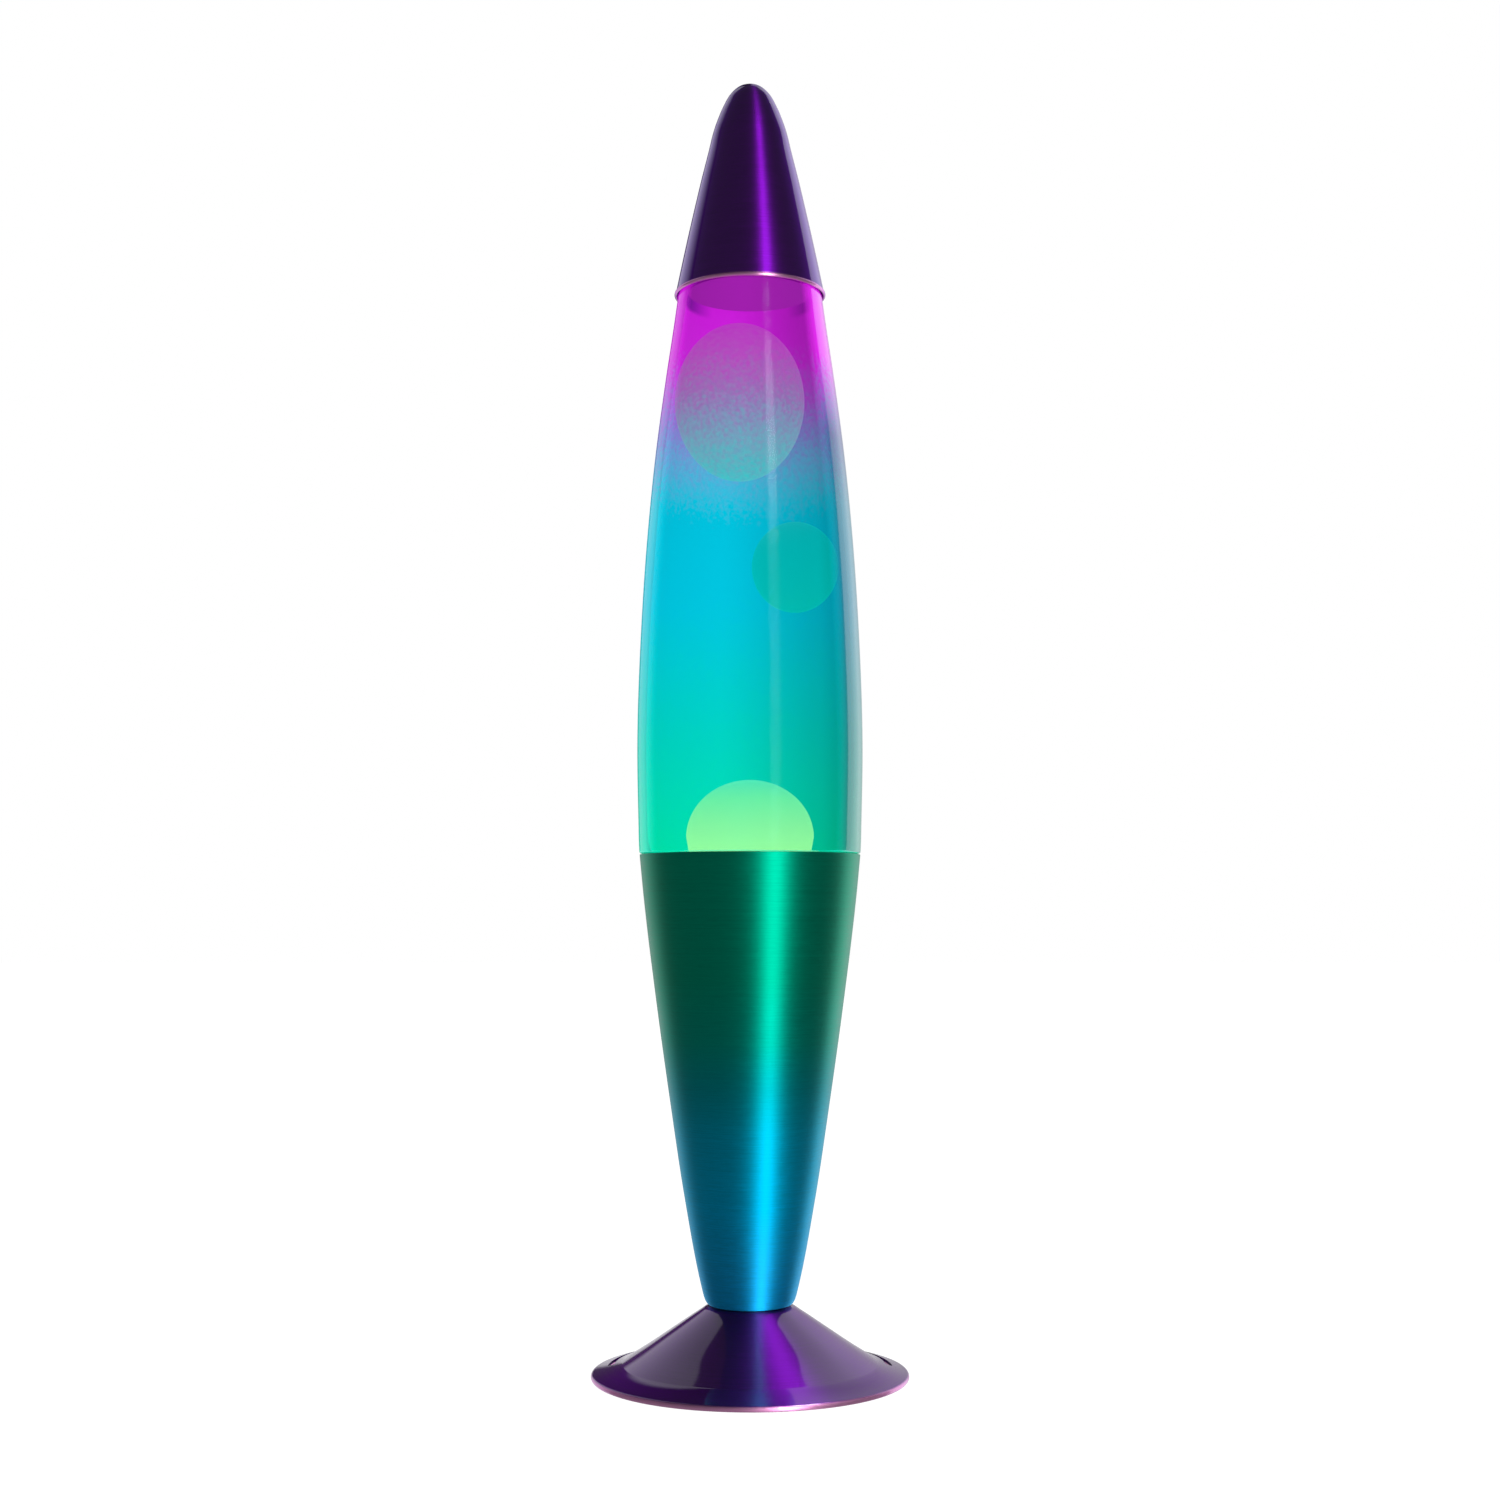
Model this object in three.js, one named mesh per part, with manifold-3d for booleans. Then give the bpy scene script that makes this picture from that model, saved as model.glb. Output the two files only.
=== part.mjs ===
// Lava lamp: a spun aluminium base with a small bulb inside, a lift-out glass bottle
// of liquid and wax, and a loose spun cap that covers the bottle's crown closure.
// Units are millimetres, +Z is up, and the origin is the centre of the foot on the table.

import * as THREE from "three";
import { mergeVertices } from "three/addons/utils/BufferGeometryUtils.js";
import Module from "manifold-3d";

const wasm = await Module();
wasm.setup();

// ---- driving dimensions ----

// Overall sizes
const HEIGHT = 368;
const FOOT_RADIUS = 44;
const RIM_Z = 144.6;
const RIM_RADIUS = 31.1;
const CAP_RIM_Z = 305;
const CAP_RIM_RADIUS = 21.2;
const LIQUID_Z = 306;

// Sheet and wall thicknesses
const SHEET = 0.8;
const CAP_SHEET = 0.7;
const GLASS = 2.2;
const GAP = 0.3;

// Foot: a cone, a flat flange outside its crease, and a rolled edge
const FOOT_TOP_Z = 19.6;
const FOOT_TOP_RADIUS = 13;
const CREASE_RADIUS = 35.7;
const CREASE_Z = 4;
const FOOT_BEAD = 0.85;
const SLOT_RADIUS = 38.6;
const SLOT_WIDTH = 2;
const SLOT_START = 3;
const SLOT_END = 50;

// Waist fixings on the threaded tube that clamps the cup to the foot
const THREAD_RADIUS = 4.75;
const THREAD_HOLE_RADIUS = THREAD_RADIUS + GAP;
const WIRE_WAY_RADIUS = 3.3;
const NIPPLE_BOTTOM_Z = 12.5;
const NIPPLE_TOP_Z = 32;
const NUT_ACROSS_FLATS = 14;
const NUT_HEIGHT = 2.8;
const WASHER_RADIUS = 8.4;
const WASHER_HEIGHT = 0.6;
const CLAMP_GAP = 0.2;

// Lampholder and bulb
const HOLDER_BOTTOM_Z = 25.6;
const HOLDER_FLOOR_Z = 32.6;
const HOLDER_TOP_Z = 57.5;
const HOLDER_RADIUS = 12.2;
const HOLDER_BORE = 9.7;
const SCREW_SHELL = { innerRadius: 8.9, outerRadius: 9.4, bottomZ: 40, topZ: 56.6 };
const BULB_TIP_Z = 37.6;
const BULB_SHELL_RADIUS = 8.3;
const BULB_SHELL_TOP_Z = 57.2;
const BULB_RADIUS = 17.5;
const BULB_TOP_Z = 94.6;
const BULB_GLASS = 0.7;

// Bottle
const BOTTLE_BOTTOM_Z = 102.2;
const BOTTLE_FLOOR_Z = 106.6;
const LIP_RADIUS = 13.1;
const LIP_TOP_Z = 326.6;
const MOUTH_RADIUS = 8.8;
const COIL_RADIUS = 17.6;
const COIL_WIRE_RADIUS = 2.4;

// Wax
const DOME_RADIUS = 18;
const DOME_TOP_Z = 165.7;
const DOME_WIDEST_Z = 149.5;
const LARGE_BLOB = { centre: [-3, 0, 274.3], radii: [18.6, 16.5, 22.8] };
const SMALL_BLOB = { centre: [12.8, -3, 226], radii: [12.3, 12.3, 12.9] };
const VENT_RADIUS = 0.7;

// Facets round the axis, by size of piece
const FINE = 28;
const MEDIUM = 20;
const COARSE = 16;

// ---- materials ----

function finish(color, roughness, metalness, extra = {}) {
  return new THREE.MeshStandardMaterial({ color, roughness, metalness, ...extra });
}

const violetMetal = finish("#3a1468", 0.3, 0.9);
const tealMetal = finish("#007a78", 0.32, 0.9);
const steel = finish("#b9bcc0", 0.35, 0.9);
const brass = finish("#b8903c", 0.35, 0.9);
const nickel = finish("#c9c6bd", 0.28, 0.9);
const phenolic = finish("#16130f", 0.45, 0);
const blackPlastic = finish("#1b1b1f", 0.55, 0);
const whiteInsulation = finish("#e9e6dd", 0.5, 0);
const blackInsulation = finish("#202022", 0.5, 0);
const spliceNylon = finish("#d8d2bf", 0.5, 0);
const clearGlass = finish("#f4f6f4", 0.05, 0, { transparent: true, opacity: 0.3 });
const tintedGlass = finish("#22c4d2", 0.08, 0, { transparent: true, opacity: 0.4 });
const blackGlass = finish("#15161a", 0.2, 0);
const tungsten = finish("#8c8478", 0.5, 0.8);
const liquidTint = finish("#18c8dc", 0.1, 0, { transparent: true, opacity: 0.5 });
const wax = finish("#d9ee62", 0.45, 0);
const sealFoam = finish("#e4e0d4", 0.8, 0);

// ---- outline helpers: an outline is a list of (radius, z) points ----

function at(radius, z) {
  return new THREE.Vector2(radius, z);
}

// A smooth line through a few points, with evenly spread steps.
function smoothLine(points, steps) {
  return new THREE.SplineCurve(points.map(([r, z]) => at(r, z))).getSpacedPoints(steps);
}

// The same line moved towards the axis by a wall thickness.
function inset(line, thickness) {
  return line.map((point, i) => {
    const before = line[Math.max(i - 1, 0)];
    const after = line[Math.min(i + 1, line.length - 1)];
    const along = after.clone().sub(before).normalize();
    return at(point.x - along.y * thickness, point.y + along.x * thickness);
  });
}

// Part of a circle, from one angle to another in degrees.
function arc(centreRadius, centreZ, radius, from, to, steps) {
  const points = [];
  for (let i = 0; i <= steps; i++) {
    const angle = THREE.MathUtils.degToRad(from + ((to - from) * i) / steps);
    points.push(at(centreRadius + radius * Math.cos(angle), centreZ + radius * Math.sin(angle)));
  }
  return points;
}

// ---- solid helpers ----

function signedArea(outline) {
  return outline.reduce((sum, p, i) => {
    const next = outline[(i + 1) % outline.length];
    return sum + (p.x * next.y - next.x * p.y) / 2;
  }, 0);
}

// A body of revolution about Z. An outline that doesn't end on the axis is closed on itself.
function turned(outline, facets) {
  const line = signedArea(outline) > 0 ? [...outline] : [...outline].reverse();
  const onAxis = line[0].x === 0 && line[line.length - 1].x === 0;
  if (!onAxis) line.push(line[0].clone());
  return new THREE.LatheGeometry(line, facets).rotateX(Math.PI / 2);
}

function ring(innerRadius, outerRadius, bottomZ, topZ, facets) {
  const outline = [
    at(innerRadius, bottomZ),
    at(outerRadius, bottomZ),
    at(outerRadius, topZ),
    at(innerRadius, topZ),
  ];
  return turned(outline, facets);
}

function toSolid(geometry) {
  const bare = geometry.clone();
  bare.deleteAttribute("normal");
  bare.deleteAttribute("uv");
  const merged = mergeVertices(bare, 1e-4);
  const vertProperties = merged.attributes.position.array;
  const triVerts = new Uint32Array(merged.index.array);
  return new wasm.Manifold(new wasm.Mesh({ numProp: 3, vertProperties, triVerts }));
}

function toGeometry(solid) {
  const mesh = solid.getMesh();
  const geometry = new THREE.BufferGeometry();
  geometry.setAttribute("position", new THREE.BufferAttribute(mesh.vertProperties, 3));
  geometry.setIndex(new THREE.BufferAttribute(mesh.triVerts, 1));
  geometry.computeVertexNormals();
  return geometry;
}

function cut(geometry, ...tools) {
  const solid = tools.reduce((rest, tool) => rest.subtract(toSolid(tool)), toSolid(geometry));
  return toGeometry(solid);
}

// The corners of a regular polygon about a point.
function polygon(radius, sides, centreX = 0, centreY = 0) {
  return Array.from({ length: sides }, (_, i) => {
    const angle = (2 * Math.PI * i) / sides;
    return at(centreX + radius * Math.cos(angle), centreY + radius * Math.sin(angle));
  });
}

// A flat plate, from the corners of its outline and of each hole.
function plate(outline, holes, bottomZ, thickness) {
  const shape = new THREE.Shape(outline);
  shape.holes = holes.map((hole) => new THREE.Path(hole));
  const geometry = new THREE.ExtrudeGeometry(shape, { depth: thickness, bevelEnabled: false });
  return geometry.translate(0, 0, bottomZ);
}

// A round wire or lead along a smooth path.
function wire(points, radius, steps, sides = 8) {
  const section = new THREE.Shape(polygon(radius, sides));
  const extrudePath = new THREE.CatmullRomCurve3(points.map((p) => new THREE.Vector3(...p)));
  return new THREE.ExtrudeGeometry(section, { steps, extrudePath });
}

const lamp = new THREE.Group();

function piece(group, name, geometry, material) {
  const mesh = new THREE.Mesh(geometry, material);
  mesh.name = name;
  group.add(mesh);
  return mesh;
}

// ---- base: foot, cup and what clamps them together ----

const base = new THREE.Group();
lamp.add(base);

// A curved slot through the flange, which runs back from beside the foot.
function flangeSlot(side) {
  const start = THREE.MathUtils.degToRad(side > 0 ? SLOT_START : 180 - SLOT_END);
  const end = THREE.MathUtils.degToRad(side > 0 ? SLOT_END : 180 - SLOT_START);
  const half = SLOT_WIDTH / 2;
  const outline = new THREE.Shape();
  outline.absarc(0, 0, SLOT_RADIUS + half, start, end, false);
  outline.absarc(SLOT_RADIUS * Math.cos(end), SLOT_RADIUS * Math.sin(end), half, end, end + Math.PI);
  outline.absarc(0, 0, SLOT_RADIUS - half, end, start, true);
  outline.absarc(
    SLOT_RADIUS * Math.cos(start),
    SLOT_RADIUS * Math.sin(start),
    half,
    start + Math.PI,
    start + 2 * Math.PI,
  );
  return new THREE.ExtrudeGeometry(outline, { depth: 8, bevelEnabled: false, curveSegments: 5 });
}

const BUSHING = { radius: 3.5, bore: 2.3, fromY: 26.5, toY: 38, z: 5.6 };

function footShell() {
  const edgeRadius = FOOT_RADIUS - FOOT_BEAD;
  const flange = [at(CREASE_RADIUS, CREASE_Z), at(CREASE_RADIUS - 1.2, CREASE_Z + 0.75)];
  const top = [at(FOOT_TOP_RADIUS, FOOT_TOP_Z - 0.6), at(FOOT_TOP_RADIUS - 0.8, FOOT_TOP_Z)];
  const outer = [...arc(edgeRadius, FOOT_BEAD, FOOT_BEAD, -90, 90, 4), ...flange, ...top];
  const under = [
    at(THREAD_HOLE_RADIUS, FOOT_TOP_Z),
    at(THREAD_HOLE_RADIUS, FOOT_TOP_Z - SHEET),
    at(FOOT_TOP_RADIUS - 1.1, FOOT_TOP_Z - SHEET),
    at(CREASE_RADIUS - 1.6, CREASE_Z + 0.05),
    at(CREASE_RADIUS - 0.3, CREASE_Z - SHEET),
    at(edgeRadius - FOOT_BEAD, FOOT_BEAD + 0.3),
    at(edgeRadius - FOOT_BEAD, 0),
  ];
  const shell = turned([...outer, ...under], FINE);
  const inletRadius = BUSHING.radius + GAP;
  const inlet = new THREE.CylinderGeometry(inletRadius, inletRadius, 20, 20);
  inlet.translate(0, (BUSHING.fromY + BUSHING.toY) / 2, BUSHING.z);
  return cut(shell, flangeSlot(1), flangeSlot(-1), inlet);
}

piece(base, "base_foot", footShell(), violetMetal);

function cupShell() {
  const floorZ = FOOT_TOP_Z + GAP;
  const side = [
    [10.9, floorZ],
    [12.4, FOOT_TOP_Z + 1.7],
    [13.5, 24.8],
    [18.1, 48.4],
    [22.4, 76.1],
    [26.5, 105],
    [RIM_RADIUS - 1, 134.2],
    [RIM_RADIUS, RIM_Z],
  ];
  const outer = side.map(([radius, z]) => at(radius, z));
  const inner = inset(outer, SHEET).reverse();
  inner[inner.length - 1] = at(10.4, floorZ + SHEET);
  const floor = [at(THREAD_HOLE_RADIUS, floorZ + SHEET), at(THREAD_HOLE_RADIUS, floorZ)];
  return turned([...outer, at(RIM_RADIUS - SHEET, RIM_Z), ...inner.slice(1), ...floor], FINE);
}

piece(base, "base_cup", cupShell(), tealMetal);

const COVER = { radius: 40.2, bottomZ: 0.4, thickness: 0.8 };
const VENTS = { count: 10, radius: 2.6, circle: 27 };

function bottomCover() {
  const vents = polygon(VENTS.circle, VENTS.count).map(({ x, y }) => polygon(VENTS.radius, 8, x, y));
  return plate(polygon(COVER.radius, FINE), vents, COVER.bottomZ, COVER.thickness);
}

piece(base, "bottom_cover", bottomCover(), blackPlastic);

function cordBushing() {
  const length = BUSHING.toY - BUSHING.fromY;
  const sleeve = ring(BUSHING.bore, BUSHING.radius, 0, length, COARSE);
  return sleeve.rotateX(-Math.PI / 2).translate(0, BUSHING.fromY, BUSHING.z);
}

piece(base, "cord_bushing", cordBushing(), blackPlastic);

piece(
  base,
  "waist_nipple",
  ring(WIRE_WAY_RADIUS, THREAD_RADIUS, NIPPLE_BOTTOM_Z, NIPPLE_TOP_Z, COARSE),
  steel,
);

function hexNut(bottomZ) {
  const hole = polygon(THREAD_HOLE_RADIUS, COARSE);
  return plate(polygon(NUT_ACROSS_FLATS / Math.sqrt(3), 6), [hole], bottomZ, NUT_HEIGHT);
}

// Each side of the waist: a washer against the sheet, then a nut against the washer.
const upperWasherZ = FOOT_TOP_Z + 2 * GAP + SHEET;
const upperNutZ = upperWasherZ + WASHER_HEIGHT + CLAMP_GAP;
const lowerWasherZ = FOOT_TOP_Z - SHEET - GAP - WASHER_HEIGHT;
const lowerNutZ = lowerWasherZ - CLAMP_GAP - NUT_HEIGHT;
for (const [where, washerZ, nutZ] of [
  ["upper", upperWasherZ, upperNutZ],
  ["lower", lowerWasherZ, lowerNutZ],
]) {
  const washerTopZ = washerZ + WASHER_HEIGHT;
  const washer = ring(THREAD_HOLE_RADIUS, WASHER_RADIUS, washerZ, washerTopZ, COARSE);
  piece(base, "waist_washer_" + where, washer, steel);
  piece(base, "waist_nut_" + where, hexNut(nutZ), brass);
}

// ---- lampholder and its wiring ----

function holderBody() {
  const outline = [
    at(THREAD_HOLE_RADIUS, HOLDER_BOTTOM_Z),
    at(HOLDER_RADIUS - 1.9, HOLDER_BOTTOM_Z),
    at(HOLDER_RADIUS - 1, HOLDER_BOTTOM_Z + 1),
    at(HOLDER_RADIUS, HOLDER_BOTTOM_Z + 6),
    at(HOLDER_RADIUS, HOLDER_TOP_Z - 0.8),
    at(HOLDER_RADIUS - 0.8, HOLDER_TOP_Z),
    at(HOLDER_BORE, HOLDER_TOP_Z),
    at(HOLDER_BORE, HOLDER_FLOOR_Z),
    at(THREAD_HOLE_RADIUS, HOLDER_FLOOR_Z),
  ];
  return turned(outline, MEDIUM);
}

piece(base, "lampholder_body", holderBody(), phenolic);

function screwShell() {
  const { innerRadius, outerRadius, bottomZ, topZ } = SCREW_SHELL;
  return ring(innerRadius, outerRadius, bottomZ, topZ, MEDIUM);
}

piece(base, "lampholder_screw_shell", screwShell(), brass);

// The centre contact is a leaf across the holder, bowed up to meet the bulb's tip.
function centreContact() {
  const thickness = 0.5;
  const topZ = BULB_TIP_Z - GAP;
  const leaf = new THREE.Shape();
  leaf.moveTo(-6, topZ - 2);
  leaf.lineTo(-2, topZ);
  leaf.lineTo(2, topZ);
  leaf.lineTo(5, topZ - 1.2);
  leaf.lineTo(5, topZ - 1.2 - thickness);
  leaf.lineTo(1.9, topZ - thickness);
  leaf.lineTo(-1.9, topZ - thickness);
  leaf.lineTo(-6, topZ - 2 - thickness);
  leaf.closePath();
  const width = 4;
  const strip = new THREE.ExtrudeGeometry(leaf, { depth: width, bevelEnabled: false });
  return strip.translate(0, 0, -width / 2).rotateX(Math.PI / 2).rotateZ(Math.PI / 2);
}

const contactGroup = new THREE.Group();
lamp.add(contactGroup);
piece(contactGroup, "centre_contact", centreContact(), brass);

const TERMINAL = { x: 6.7, size: [3.2, 5, 2.6], z: 34.4 };
const SPLICE = { fromX: 12.6, length: 12, radius: 2.7, z: 6 };
const LEAD_RADIUS = 0.8;

function lead(side) {
  const x = 1.5 * side;
  const points = [
    [side * (TERMINAL.x - TERMINAL.size[0] / 2 - GAP), 0, TERMINAL.z],
    [side * 2.2, 0, 33],
    [x, 0, 29],
    [x, 0, 20],
    [x, 0, 12],
    [side * 4.5, 0, 7.4],
    [side * (SPLICE.fromX - GAP), 0, SPLICE.z],
  ];
  return wire(points, LEAD_RADIUS, 18);
}

function spliceCap(side) {
  const { fromX, length, radius, z } = SPLICE;
  const outline = [
    at(0, 0),
    at(radius, 0),
    at(radius, length - 3),
    at(radius * 0.8, length - 0.8),
    at(radius * 0.5, length),
    at(0, length),
  ];
  const cap = turned(outline, 12).rotateY((side * Math.PI) / 2);
  return cap.translate(side * fromX, 0, z);
}

for (const [line, side, insulation] of [
  ["live", -1, blackInsulation],
  ["neutral", 1, whiteInsulation],
]) {
  const block = new THREE.BoxGeometry(...TERMINAL.size);
  block.translate(side * TERMINAL.x, 0, TERMINAL.z);
  piece(base, "terminal_" + line, block, brass);
  piece(base, "lead_" + line, lead(side), insulation);
  piece(base, "splice_cap_" + line, spliceCap(side), spliceNylon);
}

// ---- bulb ----

const bulb = new THREE.Group();
lamp.add(bulb);

const bulbCentreZ = BULB_TOP_Z - BULB_RADIUS;
const bulbNeckRadius = BULB_SHELL_RADIUS - 1.1;

function bulbEnvelope() {
  const neck = [at(bulbNeckRadius, 55), at(bulbNeckRadius, 58.5), at(9.6, 63.2)];
  const outer = [...neck, ...arc(0, bulbCentreZ, BULB_RADIUS, -36, 90, 7)];
  const inner = inset(outer, BULB_GLASS).reverse();
  inner[0] = at(0, BULB_TOP_Z - BULB_GLASS);
  outer[outer.length - 1] = at(0, BULB_TOP_Z);
  return turned([...inner, ...outer], MEDIUM);
}

function bulbStem() {
  const outline = [
    at(0, 55.4),
    at(5.9, 55.4),
    at(3, 58.6),
    at(2.1, 61),
    at(2.1, 66),
    at(1.4, 67),
    at(0, 67),
  ];
  return turned(outline, 12);
}

const shellBottomZ = BULB_TIP_Z + 6;
const FILAMENT_Z = 77;
const FILAMENT_HALF = 6.2;

function filament() {
  const points = [
    [-FILAMENT_HALF, 0, FILAMENT_Z],
    [-FILAMENT_HALF * 0.5, 2.4, FILAMENT_Z + 1.4],
    [0, 3.2, FILAMENT_Z + 1.8],
    [FILAMENT_HALF * 0.5, 2.4, FILAMENT_Z + 1.4],
    [FILAMENT_HALF, 0, FILAMENT_Z],
  ];
  return wire(points, 0.45, 10, 6);
}

function leadWire(side) {
  const points = [
    [side * 1.2, 0, 67.4],
    [side * 3.4, 0, 71.5],
    [side * FILAMENT_HALF, 0, FILAMENT_Z - 0.8],
  ];
  return wire(points, 0.3, 5, 6);
}

piece(bulb, "bulb_envelope", bulbEnvelope(), clearGlass);
piece(bulb, "bulb_stem", bulbStem(), clearGlass);
piece(bulb, "bulb_filament", filament(), tungsten);
piece(bulb, "bulb_lead_wire_left", leadWire(-1), nickel);
piece(bulb, "bulb_lead_wire_right", leadWire(1), nickel);
piece(
  bulb,
  "bulb_screw_base",
  ring(BULB_SHELL_RADIUS - 0.6, BULB_SHELL_RADIUS, shellBottomZ, BULB_SHELL_TOP_Z, MEDIUM),
  nickel,
);

// Under the screw base: a cone of black glass, with the tip contact below it
function baseInsulator() {
  const bottomZ = BULB_TIP_Z + 1.9;
  const topZ = shellBottomZ - GAP;
  return turned([at(0, bottomZ), at(3.4, bottomZ), at(7.4, topZ), at(0, topZ)], MEDIUM);
}

piece(bulb, "bulb_base_insulator", baseInsulator(), blackGlass);

function tipContact() {
  const outline = [
    at(0, BULB_TIP_Z),
    at(2, BULB_TIP_Z),
    at(2.8, BULB_TIP_Z + 0.9),
    at(2.8, BULB_TIP_Z + 1.6),
    at(0, BULB_TIP_Z + 1.6),
  ];
  return turned(outline, COARSE);
}

piece(bulb, "bulb_tip_contact", tipContact(), brass);

// ---- bottle, its closure and its contents ----

const globe = new THREE.Group();
lamp.add(globe);

// The part of the bottle that stands in the cup, and the shoulder that rests on the rim
const skirtLine = [at(20.4, BOTTLE_BOTTOM_Z), at(23.4, 103.4), at(24.2, 105.6), at(29.2, RIM_Z - 1)];
const shoulderLine = [at(29.8, RIM_Z + 0.35), at(31, RIM_Z + 1.3)];

// The visible wall, from the shoulder up to the cap
const wallLine = smoothLine(
  [
    [31.35, RIM_Z + 4],
    [31.88, 175.9],
    [31.0, 206.8],
    [29.3, 234.4],
    [27.0, 258.7],
    [24.3, 279.7],
    [21.65, 298],
    [20.7, CAP_RIM_Z],
  ],
  8,
);
const neckLine = [at(18.9, 310), at(16, 314.2), at(13, 317.2), at(12.1, 319), at(12.1, 320.6)];
const lipLine = [at(LIP_RADIUS, 321.6), at(LIP_RADIUS, LIP_TOP_Z - 0.8), at(LIP_RADIUS - 0.8, LIP_TOP_Z)];

const innerWall = inset(wallLine, GLASS);
const innerNeck = [at(17, 308.4), at(14.4, 312), at(10.6, 315.6), at(MOUTH_RADIUS, 318.6)];
const innerFoot = [at(20.6, BOTTLE_FLOOR_Z - 0.4), at(22.4, BOTTLE_FLOOR_Z + 1.2), at(26.9, 142)];

function bottleGlass() {
  const punt = [at(0, BOTTLE_BOTTOM_Z + 1.8), at(16, BOTTLE_BOTTOM_Z + 0.9), at(17.6, BOTTLE_BOTTOM_Z)];
  const outside = [...punt, ...skirtLine, ...shoulderLine, ...wallLine, ...neckLine, ...lipLine];
  const inside = [at(0, BOTTLE_FLOOR_Z), ...innerFoot, ...innerWall, ...innerNeck];
  return turned([...outside, at(MOUTH_RADIUS, LIP_TOP_Z), ...inside.reverse()], FINE);
}

piece(globe, "globe_bottle", bottleGlass(), tintedGlass);

const linerZ = LIP_TOP_Z + GAP;
piece(
  globe,
  "crown_liner",
  turned([at(0, linerZ), at(12, linerZ), at(12, linerZ + 0.7), at(0, linerZ + 0.7)], MEDIUM),
  sealFoam,
);

function crownCap() {
  const under = linerZ + 0.7 + GAP;
  const skirt = 0.5;
  const outline = [
    at(0, under + 0.5),
    at(12.6, under + 0.5),
    at(LIP_RADIUS + GAP + skirt, under - 0.8),
    at(LIP_RADIUS + GAP + skirt + 0.4, 322),
    at(LIP_RADIUS + GAP + 0.4, 322),
    at(LIP_RADIUS + GAP, under - 1),
    at(12.3, under),
    at(0, under),
  ];
  return turned(outline, MEDIUM);
}

piece(globe, "crown_cap", crownCap(), steel);

// Radius of the space inside the glass at a height between its floor and its mouth
const insideLine = [...innerFoot, ...innerWall, ...innerNeck];

function insideRadius(z) {
  const i = insideLine.findIndex((point) => point.y > z);
  const below = insideLine[i - 1];
  const above = insideLine[i];
  return THREE.MathUtils.mapLinear(z, below.y, above.y, below.x, above.x);
}

// The wax at the bottom: a pool over the heating coil, with a dome rising from its middle
const POOL_Z = 129;
const coilZ = BOTTLE_FLOOR_Z + GAP + COIL_WIRE_RADIUS;
const grooveHalf = COIL_WIRE_RADIUS + GAP;
const grooveTop = coilZ + grooveHalf;
const poolBottom = BOTTLE_FLOOR_Z + GAP;

const domeHeight = DOME_TOP_Z - DOME_WIDEST_Z;
const domeLine = [at(14.2, 138), at(17, 143.2)];
for (let i = 0; i <= 7; i++) {
  const angle = (Math.PI / 2) * (i / 7);
  domeLine.push(at(DOME_RADIUS * Math.cos(angle), DOME_WIDEST_Z + domeHeight * Math.sin(angle)));
}
domeLine[domeLine.length - 1].x = 0;
const poolEdge = insideRadius(POOL_Z) - GAP;
const poolTop = [at(poolEdge, POOL_Z), at(18, POOL_Z + 1.5), at(14.4, POOL_Z + 4.5)];
const waxTop = [...poolTop, ...domeLine];

function waxPool() {
  const outline = [
    at(0, poolBottom),
    at(COIL_RADIUS - grooveHalf, poolBottom),
    at(COIL_RADIUS - grooveHalf, grooveTop),
    at(COIL_RADIUS + grooveHalf, grooveTop),
    at(COIL_RADIUS + grooveHalf, poolBottom),
    at(21, poolBottom + 0.9),
    at(22.2, poolBottom + 2.6),
    ...waxTop,
  ];
  return turned(outline, FINE);
}

piece(globe, "wax_pool", waxPool(), wax);

const coilRing = new THREE.TorusGeometry(COIL_RADIUS, COIL_WIRE_RADIUS, 8, FINE);
piece(globe, "heat_coil", coilRing.translate(0, 0, coilZ), steel);

function blobGeometry({ centre, radii }, margin = 0) {
  const [x, y, z] = radii.map((radius) => radius + margin);
  const ball = new THREE.SphereGeometry(1, 20, 12).rotateX(Math.PI / 2);
  return ball.scale(x, y, z).translate(...centre);
}

// The liquid fills the rest, and a thin way runs up from each blob to its surface.
function lavaLiquid() {
  const overWax = inset(waxTop, -GAP).slice(1).reverse();
  overWax[0] = at(0, DOME_TOP_Z + GAP);
  const wall = insideLine.filter((point) => point.y > POOL_Z + 3 && point.y < LIQUID_Z - 1);
  const side = [
    at(insideRadius(POOL_Z + 1), POOL_Z + 1),
    ...wall,
    at(insideRadius(LIQUID_Z), LIQUID_Z),
  ].map((point) => at(point.x - GAP, point.y));
  const body = turned([...overWax, ...side, at(0, LIQUID_Z)], FINE);
  const vents = [LARGE_BLOB, SMALL_BLOB].map(({ centre }) => {
    const [x, y, z] = centre;
    const length = LIQUID_Z + 2 - z;
    const vent = new THREE.CylinderGeometry(VENT_RADIUS, VENT_RADIUS, length, 6);
    return vent.rotateX(Math.PI / 2).translate(x, y, z + length / 2);
  });
  return cut(body, blobGeometry(LARGE_BLOB, GAP), blobGeometry(SMALL_BLOB, GAP), ...vents);
}

piece(globe, "lava_liquid", lavaLiquid(), liquidTint);

const risingWax = new THREE.Group();
lamp.add(risingWax);
piece(risingWax, "wax_blob_large", blobGeometry(LARGE_BLOB), wax);
piece(risingWax, "wax_blob_small", blobGeometry(SMALL_BLOB), wax);

// ---- cap ----

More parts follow.
